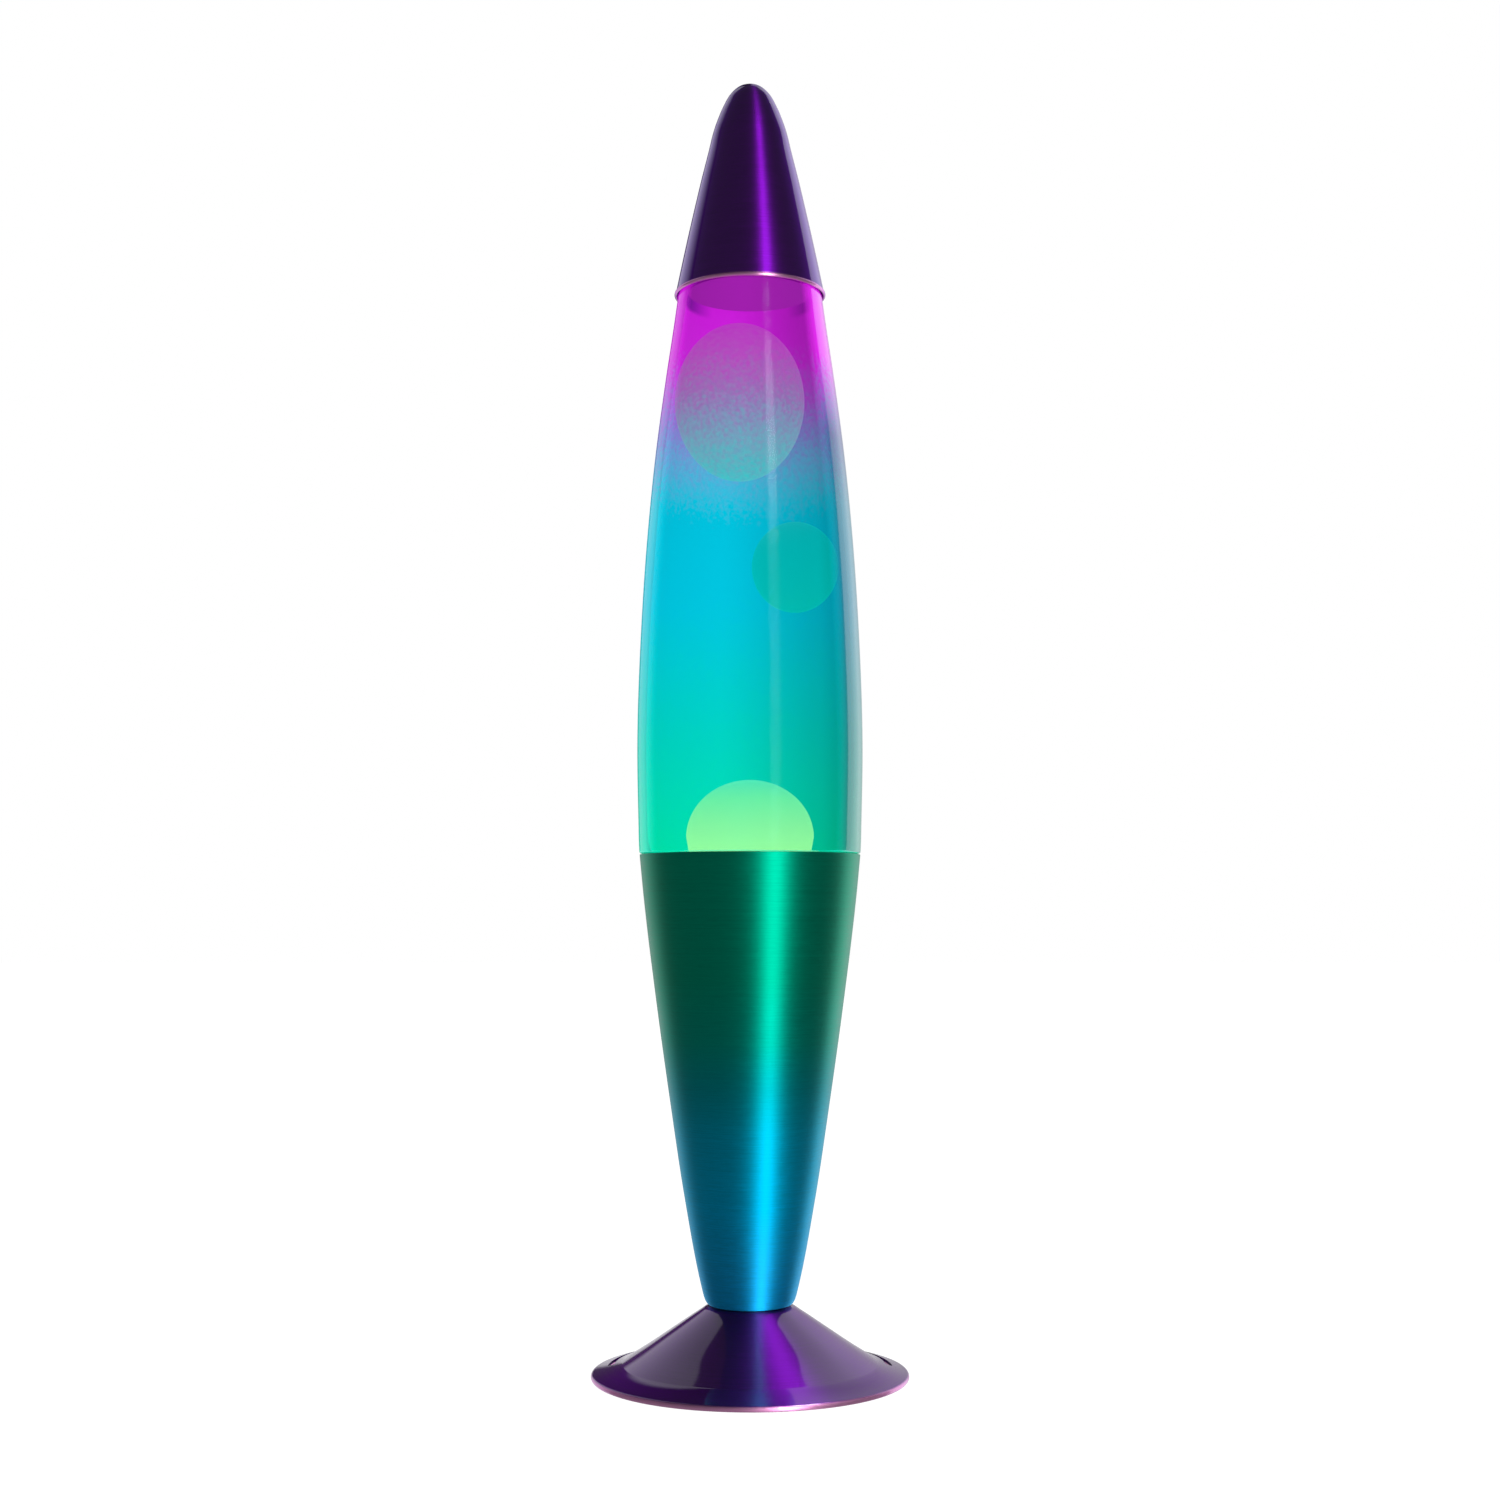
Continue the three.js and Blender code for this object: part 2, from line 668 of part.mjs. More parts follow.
function topCap() {
  const side = [
    at(CAP_RIM_RADIUS + 0.1, CAP_RIM_Z + 1.1),
    at(19.9, 313),
    at(16, 331),
    at(14, 339.7),
    at(12, 347.8),
    at(10.5, 354),
    at(9.3, 357.5),
    at(7.8, 361.1),
    at(5.8, 364.7),
    at(3.2, HEIGHT - 0.9),
    at(0, HEIGHT),
  ];
  const inner = inset(side, CAP_SHEET).reverse();
  inner[0] = at(0, HEIGHT - CAP_SHEET);
  const bead = arc(CAP_RIM_RADIUS, CAP_RIM_Z + 0.55, 0.55, -90, 50, 4);
  return turned([...bead, ...side, ...inner.slice(0, -1), at(20.7, CAP_RIM_Z + 1)], FINE);
}

const capGroup = new THREE.Group();
lamp.add(capGroup);
piece(capGroup, "top_cap", topCap(), violetMetal);

export default lamp;
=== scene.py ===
"""Looks of the lava lamp: lacquered base and cap, sprayed glass, liquid, wax and bulb."""

import math

import bmesh
import bpy
import numpy as np
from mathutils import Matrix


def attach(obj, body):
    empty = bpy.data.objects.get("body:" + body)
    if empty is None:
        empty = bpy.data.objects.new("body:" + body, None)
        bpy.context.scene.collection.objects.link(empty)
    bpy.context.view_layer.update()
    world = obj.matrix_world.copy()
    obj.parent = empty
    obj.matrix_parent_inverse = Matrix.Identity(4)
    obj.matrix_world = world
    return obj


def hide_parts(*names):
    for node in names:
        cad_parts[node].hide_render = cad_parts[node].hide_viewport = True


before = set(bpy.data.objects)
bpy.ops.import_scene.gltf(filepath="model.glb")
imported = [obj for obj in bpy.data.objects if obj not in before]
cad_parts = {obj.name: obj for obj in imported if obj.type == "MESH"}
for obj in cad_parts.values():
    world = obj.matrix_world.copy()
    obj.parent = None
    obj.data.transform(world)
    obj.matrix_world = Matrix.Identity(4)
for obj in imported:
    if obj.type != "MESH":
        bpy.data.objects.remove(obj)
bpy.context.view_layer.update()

# ---- sizes, in millimetres, in the lamp's own frame ----

MM = 0.001
HEIGHT = 368
FOOT_RADIUS = 44
FOOT_BEAD = 0.85
SLOT_RADIUS = 38.6
SLOT_HALF = 1.0
INLET_Z = 5.6
WAIST_HOLE = 5.05
VENTS = 10
VENT_CIRCLE = 27
RIM_Z = 144.6
RIM_RADIUS = 31.1
LIQUID_Z = 306
CUP_SHEET = 0.8
CAP_SHEET = 0.7
GLASS = 2.2
LIQUID_GAP = 0.3
THREAD_PITCH = 2.82
TERMINAL_X = 6.7
FILAMENT_HALF = 6.2
COIL_TURNS = 64
CROWN_FLUTES = 21

# Sides of a large turned piece
ROUND = 192


# ---- outlines: lists of (radius, z) points ----


def smooth(points, steps=6):
    """A smooth line through the points, with this many steps between neighbours."""
    p = np.array(points, float)
    t = np.r_[0, np.cumsum(np.linalg.norm(np.diff(p, axis=0), axis=1))]
    slope = np.gradient(p, t, axis=0)
    line = []
    for i in range(len(p) - 1):
        h = t[i + 1] - t[i]
        for u in np.arange(steps) / steps:
            start = (2 * u**3 - 3 * u**2 + 1) * p[i] + (u**3 - 2 * u**2 + u) * h * slope[i]
            end = (3 * u**2 - 2 * u**3) * p[i + 1] + (u**3 - u**2) * h * slope[i + 1]
            line.append(tuple(start + end))
    return line + [tuple(p[-1])]


def inset(line, thickness):
    """The same line moved towards the axis by a wall thickness."""
    p = np.array(line, float)
    along = np.gradient(p, axis=0)
    along /= np.linalg.norm(along, axis=1)[:, None]
    return [tuple(q) for q in p + np.c_[-along[:, 1], along[:, 0]] * thickness]


def polar(radius, degrees):
    """The point at a radius and an angle."""
    angle = math.radians(degrees)
    return radius * math.cos(angle), radius * math.sin(angle)


def arc(centre, radius, start, end, steps=8):
    """Part of a circle, from one angle to another in degrees."""
    angles = np.radians(np.linspace(start, end, steps + 1))
    return [(centre[0] + radius * math.cos(a), centre[1] + radius * math.sin(a)) for a in angles]


# ---- meshes ----


def add(name, mesh, body, crease=35):
    """A piece of the lamp that moves with a body, shaded smooth but sharp where faces meet at more
    than the crease angle.
    """
    obj = bpy.data.objects.new(name, mesh)
    bpy.context.scene.collection.objects.link(obj)
    mesh.shade_smooth()
    mesh.set_sharp_from_angle(angle=math.radians(crease))
    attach(obj, body)
    return obj


def fitted(name, mesh, body, material, node, crease=35):
    """A piece that stands for one CAD node, in its finish."""
    obj = add(name, mesh, body, crease)
    obj.data.materials.append(material)
    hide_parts(node)
    return obj


def mesh_from(name, verts, faces):
    """A mesh from points in millimetres, with its faces turned outwards."""
    mesh = bpy.data.meshes.new(name)
    mesh.from_pydata([tuple(c * MM for c in v) for v in verts], [], faces)
    shape = bmesh.new()
    shape.from_mesh(mesh)
    bmesh.ops.recalc_face_normals(shape, faces=shape.faces)
    shape.to_mesh(mesh)
    shape.free()
    return mesh


def lathe(name, outline, sides=ROUND):
    """A body of revolution about Z. An outline that doesn't end on the axis is closed on itself."""
    verts, rings, faces = [], [], []
    for r, z in outline:
        count = 1 if r < 1e-6 else sides
        rings.append(list(range(len(verts), len(verts) + count)))
        for i in range(count):
            angle = 2 * math.pi * i / count
            verts.append((r * math.cos(angle), r * math.sin(angle), z))
    pairs = list(zip(rings, rings[1:]))
    if len(rings[0]) > 1 or len(rings[-1]) > 1:
        pairs.append((rings[-1], rings[0]))
    for low, high in pairs:
        if len(low) == 1 and len(high) == 1:
            continue
        for i in range(sides):
            j = (i + 1) % sides
            if len(low) == 1:
                faces.append((low[0], high[j], high[i]))
            elif len(high) == 1:
                faces.append((low[i], low[j], high[0]))
            else:
                faces.append((low[i], low[j], high[j], high[i]))
    return mesh_from(name, verts, faces)


def ellipsoid(name, centre, radii, rings=48, sides=96):
    """A closed egg shape with its poles on Z."""
    outline = [(math.sin(a), -math.cos(a)) for a in np.linspace(0, math.pi, rings + 1)]
    outline[0], outline[-1] = (0, -1), (0, 1)
    mesh = lathe(name, outline, sides)
    for v in mesh.vertices:
        v.co = [(v.co[i] / MM * radii[i] + centre[i]) * MM for i in range(3)]
    return mesh


def cut(mesh, *tools):
    """Takes the tools' volumes out of the mesh."""
    obj = bpy.data.objects.new("cut", mesh)
    bpy.context.scene.collection.objects.link(obj)
    cutters = []
    for tool in tools:
        cutter = bpy.data.objects.new("cutter", tool)
        bpy.context.scene.collection.objects.link(cutter)
        cutters.append(cutter)
        modifier = obj.modifiers.new("cut", "BOOLEAN")
        modifier.object = cutter
        modifier.solver = "EXACT"
    evaluated = obj.evaluated_get(bpy.context.evaluated_depsgraph_get())
    result = bpy.data.meshes.new_from_object(evaluated)
    for spare in [obj, *cutters]:
        bpy.data.objects.remove(spare)
    return result


def sleeve(name, low, high, inner, outer, step=0.25, sides=96):
    """A tube whose two radii are functions of height and of the turn, 0 to 1."""
    heights = np.linspace(low, high, max(2, round((high - low) / step) + 1))
    verts = []
    for radius in (outer, inner):
        for z in heights:
            for i in range(sides):
                r, angle = radius(z, i / sides), 2 * math.pi * i / sides
                verts.append((r * math.cos(angle), r * math.sin(angle), z))
    rows = len(heights)
    skins = [(k, k + 1) for k in range(rows - 1)]
    skins += [(rows + k, rows + k + 1) for k in range(rows - 1)]
    skins += [(0, rows), (rows - 1, 2 * rows - 1)]
    faces = []
    for a, b in skins:
        for i in range(sides):
            j = (i + 1) % sides
            faces.append((a * sides + i, a * sides + j, b * sides + j, b * sides + i))
    return mesh_from(name, verts, faces)


def rod(name, line, radius, sides=16, closed=False):
    """A round rod along a line of points."""
    p = np.array(line, float)
    if closed:
        along = np.roll(p, -1, 0) - np.roll(p, 1, 0)
    else:
        along = np.gradient(p, axis=0)
    along /= np.linalg.norm(along, axis=1)[:, None]
    across = np.cross(along[0], (0.31, 0.17, 0.93))
    verts = []
    for point, ahead in zip(p, along):
        across = across - ahead * across.dot(ahead)
        across /= np.linalg.norm(across)
        other = np.cross(ahead, across)
        for i in range(sides):
            a = 2 * math.pi * i / sides
            verts.append(tuple(point + radius * (math.cos(a) * across + math.sin(a) * other)))
    faces = []
    for k in range(len(p) if closed else len(p) - 1):
        here, there = k * sides, (k + 1) % len(p) * sides
        for i in range(sides):
            j = (i + 1) % sides
            faces.append((here + i, here + j, there + j, there + i))
    if not closed:
        faces += [tuple(range(sides)), tuple(range(len(verts) - sides, len(verts)))]
    return mesh_from(name, verts, faces)


def block(name, centre, size, bevel):
    """A box with rounded edges."""
    shape = bmesh.new()
    bmesh.ops.create_cube(shape, size=1)
    for v in shape.verts:
        v.co = [(v.co[i] * size[i] + centre[i]) * MM for i in range(3)]
    edges = shape.edges[:]
    bmesh.ops.bevel(shape, geom=edges, offset=bevel * MM, segments=3, affect="EDGES", profile=0.5)
    mesh = bpy.data.meshes.new(name)
    shape.to_mesh(mesh)
    shape.free()
    return mesh


def joined(name, *meshes):
    """Several meshes as one."""
    shape = bmesh.new()
    for mesh in meshes:
        shape.from_mesh(mesh)
    result = bpy.data.meshes.new(name)
    shape.to_mesh(result)
    shape.free()
    return result


def moved(mesh, change):
    """The mesh with each point, in millimetres, put through a function."""
    for v in mesh.vertices:
        v.co = [c * MM for c in change(*(c / MM for c in v.co))]
    return mesh


def shifted(mesh, dx, dy):
    """The mesh moved sideways."""
    return moved(mesh, lambda x, y, z: (x + dx, y + dy, z))


def fluted(mesh, count, depth, low, high, least):
    """Flutes round the mesh, between two heights, on the faces outside a radius."""

    def change(x, y, z):
        r = math.hypot(x, y)
        if r < least:
            return x, y, z
        fade = min(max((z - low) / 1.2, 0), 1) * min(max((high - z) / 1.2, 0), 1)
        k = 1 - depth / r * fade * (0.5 - 0.5 * math.cos(count * math.atan2(y, x)))
        return x * k, y * k, z

    return moved(mesh, change)


def wave(turns):
    """From 1 to 0 and back once a turn."""
    return 0.5 + 0.5 * math.cos(2 * math.pi * turns)


# ---- materials ----


class Finish:
    """A material, with short ways to add the nodes that lead into it."""

    def __init__(self, name):
        self.material = bpy.data.materials.new(name)
        self.material.use_nodes = True
        self.tree = self.material.node_tree
        self.tree.nodes.clear()

    def node(self, kind, settings=None, inputs=None):
        made = self.tree.nodes.new("ShaderNode" + kind)
        for key, value in (settings or {}).items():
            setattr(made, key, value)
        for key, value in (inputs or {}).items():
            if isinstance(value, bpy.types.NodeSocket):
                self.tree.links.new(value, made.inputs[key])
            else:
                made.inputs[key].default_value = value
        return made

    def place(self):
        return self.node("TexCoord").outputs["Object"]

    def place_along(self, axis):
        """How far along one axis a point is, in metres."""
        return self.node("SeparateXYZ", None, {0: self.place()}).outputs[axis]

    def normal_along(self, axis):
        """How squarely the surface faces along one of the lamp's own axes, -1 to 1."""
        normal = self.node("TexCoord").outputs["Normal"]
        return self.node("SeparateXYZ", None, {0: normal}).outputs[axis]

    def math(self, operation, a, b=0.0, clamp=False):
        settings = {"operation": operation, "use_clamp": clamp}
        return self.node("Math", settings, {0: a, 1: b}).outputs[0]

    def scaled(self, scale):
        return self.node("Mapping", None, {"Vector": self.place(), "Scale": scale}).outputs[0]

    def noise(self, scale, detail=2.0, roughness=0.5):
        inputs = {"Vector": self.scaled(scale), "Scale": 1.0}
        inputs.update({"Detail": detail, "Roughness": roughness})
        return self.node("TexNoise", None, inputs).outputs["Fac"]

    def spread(self, value, low, high, to_low=0.0, to_high=1.0):
        """The value taken from one range to another, and held at its ends."""
        inputs = {"Value": value, "From Min": low, "From Max": high}
        inputs.update({"To Min": to_low, "To Max": to_high})
        return self.node("MapRange", None, inputs).outputs[0]

    def ramp(self, value, stops):
        """Colours along a value from 0 to 1."""
        made = self.node("ValToRGB", None, {"Fac": value})
        points = made.color_ramp.elements
        while len(points) < len(stops):
            points.new(0.5)
        for point, (position, colour) in zip(points, stops):
            point.position = position
        for point, (position, colour) in zip(points, stops):
            point.color = (*colour, 1)
        return made.outputs["Color"]

    def by_height(self, stops, wander=0.0):
        """Colours by height, from (z in mm, colour) stops, blurred by a fine grain."""
        z = self.place_along("Z")
        if wander:
            grain = self.noise((900, 900, 900), 1.0)
            z = self.math("ADD", z, self.spread(grain, 0.3, 0.7, -wander * MM, wander * MM))
        low, high = stops[0][0], stops[-1][0]
        points = [((level - low) / (high - low), colour) for level, colour in stops]
        return self.ramp(self.spread(z, low * MM, high * MM), points)

    def mix(self, fac, a, b, kind="MIX"):
        made = self.node("Mix", {"data_type": "RGBA", "blend_type": kind}, {0: fac, 6: a, 7: b})
        return made.outputs[2]

    def shaded(self, colour, tone):
        """The colour made lighter or darker by a value."""
        grey = self.node("CombineColor", None, {0: tone, 1: tone, 2: tone}).outputs[0]
        return self.mix(1.0, colour, grey, "MULTIPLY")

    def bump(self, height, strength, distance):
        inputs = {"Height": height, "Strength": strength, "Distance": distance}
        return self.node("Bump", None, inputs).outputs[0]

    def principled(self, **inputs):
        named = {key.replace("_", " "): value for key, value in inputs.items()}
        return self.node("BsdfPrincipled", None, named).outputs[0]

    def done(self, shader):
        self.node("OutputMaterial", None, {"Surface": shader})
        return self.material


def spun_lacquer(name, colours, gloss, roughness=0.5, edge=(1, 1, 1), softer=0.0):
    """Coloured lacquer over spun aluminium, with fine turning marks; it may be softer low down."""
    f = Finish(name)
    long_marks = f.noise((12, 12, 6500), 3.0, 0.65)
    short_marks = f.noise((260, 260, 3000), 2.0, 0.6)
    marks = f.math("ADD", f.math("MULTIPLY", long_marks, 0.6), f.math("MULTIPLY", short_marks, 0.4))
    tangent = f.node("Tangent", {"direction_type": "RADIAL", "axis": "Z"}).outputs[0]
    blur = f.spread(marks, 0.3, 0.7, roughness - 0.06, roughness + 0.06)
    if softer:
        blur = f.math("ADD", blur, f.spread(f.place_along("Z"), 0.1, 0.04, 0.0, softer))
    shader = f.principled(
        Base_Color=f.shaded(f.by_height(colours), f.spread(marks, 0.35, 0.65, 0.85, 1.15)),
        Metallic=1.0,
        Roughness=blur,
        Anisotropic=0.85,
        Anisotropic_Rotation=0.25,
        Tangent=tangent,
        Normal=f.bump(marks, 0.4, 0.00003),
        Specular_Tint=(*edge, 1),
        Coat_Weight=gloss,
        Coat_Roughness=0.07,
        Coat_IOR=1.55,
    )
    return f.done(shader)


def plain(
    name, colour, roughness, metallic=0.0, vary=0.15, scale=(600, 600, 600), relief=0.15, **more
):
    """A finish with a fine grain in its colour, gloss and surface."""
    f = Finish(name)
    grain = f.noise(scale, 4.0, 0.6)
    shader = f.principled(
        Base_Color=f.shaded((*colour, 1), f.spread(grain, 0.3, 0.7, 1 - vary, 1 + vary)),
        Metallic=metallic,
        Roughness=f.spread(grain, 0.3, 0.7, roughness * 0.8, roughness * 1.2),
        Normal=f.bump(grain, relief, 0.00005),
        **more,
    )
    return f.done(shader)


def hot_filament():
    """Coiled tungsten, hotter towards its middle."""
    f = Finish("hot_filament")
    from_middle = f.spread(f.math("ABSOLUTE", f.place_along("X")), 0, FILAMENT_HALF * MM)
    heat = [(0, (1.0, 0.55, 0.18)), (0.8, (1.0, 0.42, 0.1)), (1, (0.5, 0.12, 0.02))]
    shader = f.principled(
        Base_Color=(0.2, 0.18, 0.16, 1),
        Metallic=0.8,
        Roughness=0.5,
        Emission_Color=f.ramp(from_middle, heat),
        Emission_Strength=9.0,
    )
    return f.done(shader)


VIOLET = (0.07, 0.002, 0.17)
# Painted highlight: the pale pink line for the light that the rolled beads of the foot and cap
# catch.
PAINTED_BEAD_HIGHLIGHT = (0.75, 0.32, 0.6)
DEEP_VIOLET = (0.1, 0.002, 0.24)
# The foot's bead, up to 1.2 mm, carries the painted highlight.
foot_stops = [(0, PAINTED_BEAD_HIGHLIGHT), (1.2, PAINTED_BEAD_HIGHLIGHT), (1.6, VIOLET), (22, VIOLET)]
foot_lacquer = spun_lacquer("foot_lacquer", foot_stops, 0.78, 0.5, (0.65, 0.4, 0.8))
# The cap's bead, from 305 to 305.9 mm, carries the painted highlight.
cap_stops = [(305, PAINTED_BEAD_HIGHLIGHT), (305.9, PAINTED_BEAD_HIGHLIGHT), (306.3, DEEP_VIOLET), (368, DEEP_VIOLET)]
cap_lacquer = spun_lacquer("cap_lacquer", cap_stops, 0.85, 0.38, (0.45, 0.15, 0.8))
teal_lacquer = spun_lacquer(
    "teal_lacquer",
    [
        (19, (0.01, 0.46, 0.84)),
        (30, (0.01, 0.46, 0.8)),
        (48, (0.0, 0.48, 0.76)),
        (67, (0.0, 0.42, 0.6)),
        (80, (0.0, 0.34, 0.38)),
        (93, (0.0, 0.33, 0.25)),
        (110, (0.0, 0.32, 0.2)),
        (145, (0.0, 0.33, 0.2)),
    ],
    gloss=0.0,
    roughness=0.57,
    softer=0.13,
)


# Share of the sprayed glass that is body colour where it is seen square on
BODY = 0.13
MAGENTA = (0.62, 0.012, 0.68)
PERIWINKLE = (0.2, 0.25, 0.62)
CYAN = (0.0, 0.56, 0.7)
TURQUOISE = (0.0, 0.62, 0.52)
GREENISH = (0.0, 0.68, 0.46)
SPRAY = [
    (143, GREENISH),
    (175, TURQUOISE),
    (215, CYAN),
    (243, CYAN),
    (262, PERIWINKLE),
    (284, MAGENTA),
    (310, MAGENTA),
]


def sprayed_glass():
    """Glass sprayed with clear colour, denser seen edge on: painted light on its left, painted
    shade on its right.
    """
    f = Finish("sprayed_glass")
    colour = f.by_height(SPRAY, 5)
    edge_on = f.node("LayerWeight", None, {"Blend": 0.5}).outputs["Facing"]
    sideways, z = f.normal_along("X"), f.place_along("Z")
    right = f.spread(sideways, -0.1, 0.5)
    # Painted shade: where the glass faces +X, its body colour is darkened to a deep blue-grey, less
    # towards the top.
    unlit = f.spread(sideways, 0.62, 0.84)
    unlit = f.math("MULTIPLY", unlit, f.spread(z, 0.285, 0.262, 0.15, 1.0))
    shade = f.mix(unlit, (1, 1, 1, 1), (0.05, 0.14, 0.2, 1))
    tint = f.mix(0.5, colour, (0.86, 0.95, 0.97, 1))
    # The +X edge is denser than the -X edge, so more of the painted shade shows there.
    left_share = f.spread(edge_on, 0.45, 0.66, BODY, 0.7)
    right_share = f.spread(edge_on, 0.36, 0.52, BODY, 0.92)
    shares = {0: right, 2: left_share, 3: right_share}
    share = f.node("Mix", {"data_type": "FLOAT"}, shares).outputs[0]
    gloss = f.spread(z, 0.225, 0.25, 0.12, 1.0)
    gloss = f.math("ADD", gloss, f.spread(edge_on, 0.35, 0.5), clamp=True)
    gloss = f.math("MULTIPLY", gloss, f.spread(right, 0, 1, 0.6, 1.0))
    speckle = f.noise((1500, 1500, 1500), 2.0, 0.6)
    shader = f.principled(
        Base_Color=f.mix(1.0, colour, shade, "MULTIPLY"),
        Roughness=0.3,
        Specular_IOR_Level=0.0,
        Coat_Weight=gloss,
        Coat_Roughness=0.08,
        Coat_IOR=1.5,
        Coat_Normal=f.bump(speckle, 0.12, 0.00004),
        # Painted light: the glass glows in its own colour, weaker where it faces +X.
        Emission_Color=colour,
        Emission_Strength=f.spread(right, 0, 1, 0.8, 0.18),
    )
    clear = f.node("BsdfTransparent", None, {0: tint}).outputs[0]
    return f.done(f.node("MixShader", None, {0: share, 1: clear, 2: shader}).outputs[0])


def clear_glass(name, share=0.06):
    """Clear glass, of which a share is gloss and faint grey and the rest lets light through."""
    f = Finish(name)
    shader = f.principled(Base_Color=(0.03, 0.07, 0.07, 1), Roughness=0.05)
    clear = f.node("BsdfTransparent", None, {0: (0.98, 1, 1, 1)}).outputs[0]
    return f.done(f.node("MixShader", None, {0: share, 1: clear, 2: shader}).outputs[0])


def glow(name, stops, wander=0.0):
    """Wax lit from below: its own light stands for the bulb's."""
    f = Finish(name)
    shader = f.principled(
        Base_Color=(0.02, 0.03, 0.01, 1),
        Roughness=0.5,
        Specular_IOR_Level=0.1,
        Emission_Color=f.by_height(stops, wander),
        Emission_Strength=1.0,
    )
    return f.done(shader)


def lit_liquid():
    """Clear liquid: its far wall carries the light that comes through it."""
    f = Finish("lit_liquid")
    lit = [
        (106, (0.2, 0.9, 0.6)),
        (143, (0.0, 0.92, 0.5)),
        (175, (0.0, 0.8, 0.66)),
        (215, (0.0, 0.7, 0.85)),
        (245, (0.0, 0.66, 0.84)),
        (262, (0.3, 0.5, 0.8)),
        (280, (0.75, 0.05, 0.8)),
        (307, (0.75, 0.02, 0.8)),
    ]
    # On a wall seen from behind, the normal points into the liquid.
    inward = f.normal_along("X")
    # Painted reflection: where the liquid's top is seen from below, it is painted dim purple for
    # the mirror that its underside makes.
    surface = f.spread(f.normal_along("Z"), -0.6, -0.9)
    colour = f.mix(surface, f.by_height(lit, 4), (0.36, 0.03, 0.4, 1))
    beside = f.spread(f.math("ABSOLUTE", inward), 0.6, 0.95)
    indigo = f.math("MULTIPLY", beside, f.spread(f.place_along("Z"), 0.3024, 0.3036))
    colour = f.mix(indigo, colour, (0.09, 0.008, 0.26, 1))
    shader = f.principled(
        Base_Color=(0, 0, 0, 1),
        Roughness=0.3,
        Specular_IOR_Level=0.0,
        # Painted shade: the glow is dimmer where the far wall lies on the +X side, as if the liquid
        # were lit from -X.
        Emission_Color=f.shaded(colour, f.spread(inward, 0.3, -0.75, 0.93, 0.5)),
        Emission_Strength=1.0,
    )
    clear = f.node("BsdfTransparent").outputs[0]
    far = f.node("NewGeometry").outputs["Backfacing"]
    return f.done(f.node("MixShader", None, {0: far, 1: clear, 2: shader}).outputs[0])


def clear_liquid():
    """The liquid where it meets the wax: nothing of it shows."""
    f = Finish("clear_liquid")
    return f.done(f.node("BsdfTransparent").outputs[0])


# ---- base ----


def foot_mesh():
    cone = [(35.7, 4.0), (34.6, 4.68), (29, 8.2), (21, 13.6), (13.4, 18.7), (12.4, 19.35)]
    cone += [(11.2, 19.6)]
    bead = arc((FOOT_RADIUS - FOOT_BEAD, FOOT_BEAD), FOOT_BEAD, -90, 90, 12)
    under = [(WAIST_HOLE, 19.6), (WAIST_HOLE, 18.8), (11.9, 18.8), (34.1, 4.05), (35.4, 3.2)]
    under += [(42.3, 1.15), (42.3, 0)]
    return lathe("foot", bead + smooth(cone, 3) + under)


def sides_between(count):
    """The faces between two copies of an outline, one after the other."""
    return [(i, (i + 1) % count, (i + 1) % count + count, i + count) for i in range(count)]


def slot_mesh(start, end):
    """What a curved slot with round ends takes out of the flange, between two angles."""
    points = [polar(SLOT_RADIUS + SLOT_HALF, a) for a in np.linspace(start, end, 40)]
    points += arc(polar(SLOT_RADIUS, end), SLOT_HALF, end, end + 180, 12)[1:-1]
    points += [polar(SLOT_RADIUS - SLOT_HALF, a) for a in np.linspace(end, start, 40)]
    points += arc(polar(SLOT_RADIUS, start), SLOT_HALF, start + 180, start + 360, 12)[1:-1]
    count = len(points)
    verts = [(x, y, z) for z in (-1, 9) for x, y in points]
    faces = [tuple(range(count)), tuple(range(count, 2 * count))]
    return mesh_from("slot", verts, faces + sides_between(count))


def inlet_mesh():
    """What the cord's inlet takes out of the back of the foot."""
    mesh = lathe("inlet", [(0, 0), (3.8, 0), (3.8, 20), (0, 20)], 48)
    return moved(mesh, lambda x, y, z: (x, 22.5 + z, INLET_Z + y))


foot = fitted(
    "foot",
    cut(foot_mesh(), slot_mesh(3, 50), slot_mesh(130, 177), inlet_mesh()),
    "base",
    foot_lacquer,
    "base_foot",
)

cup_side = [(12.9, 22.4), (13.5, 24.8), (18.1, 48.4), (22.4, 76.1), (26.5, 105)]
cup_side += [(30.1, 134.2), (31.1, 144.3)]
cup_turn = smooth([(10.9, 19.9), (11.7, 20.2), (12.4, 21.1), (12.9, 22.4)], 3)[:-1]
cup_outer = cup_turn + smooth(cup_side, 8)
cup_inner = inset(cup_outer, CUP_SHEET)[::-1]
cup_lip = arc((RIM_RADIUS - 0.18, RIM_Z - 0.18), 0.18, 0, 90, 4)
cup_lip += arc((RIM_RADIUS - CUP_SHEET + 0.25, RIM_Z - 0.25), 0.25, 90, 180, 4)
cup_floor = [(10.4, 20.7), (WAIST_HOLE, 20.7), (WAIST_HOLE, 19.9)]
cup_mesh = lathe("cup", cup_outer[:-1] + cup_lip + cup_inner[1:-4] + cup_floor)
fitted("cup", cup_mesh, "base", teal_lacquer, "base_cup")

# ---- cover, lampholder and wiring ----

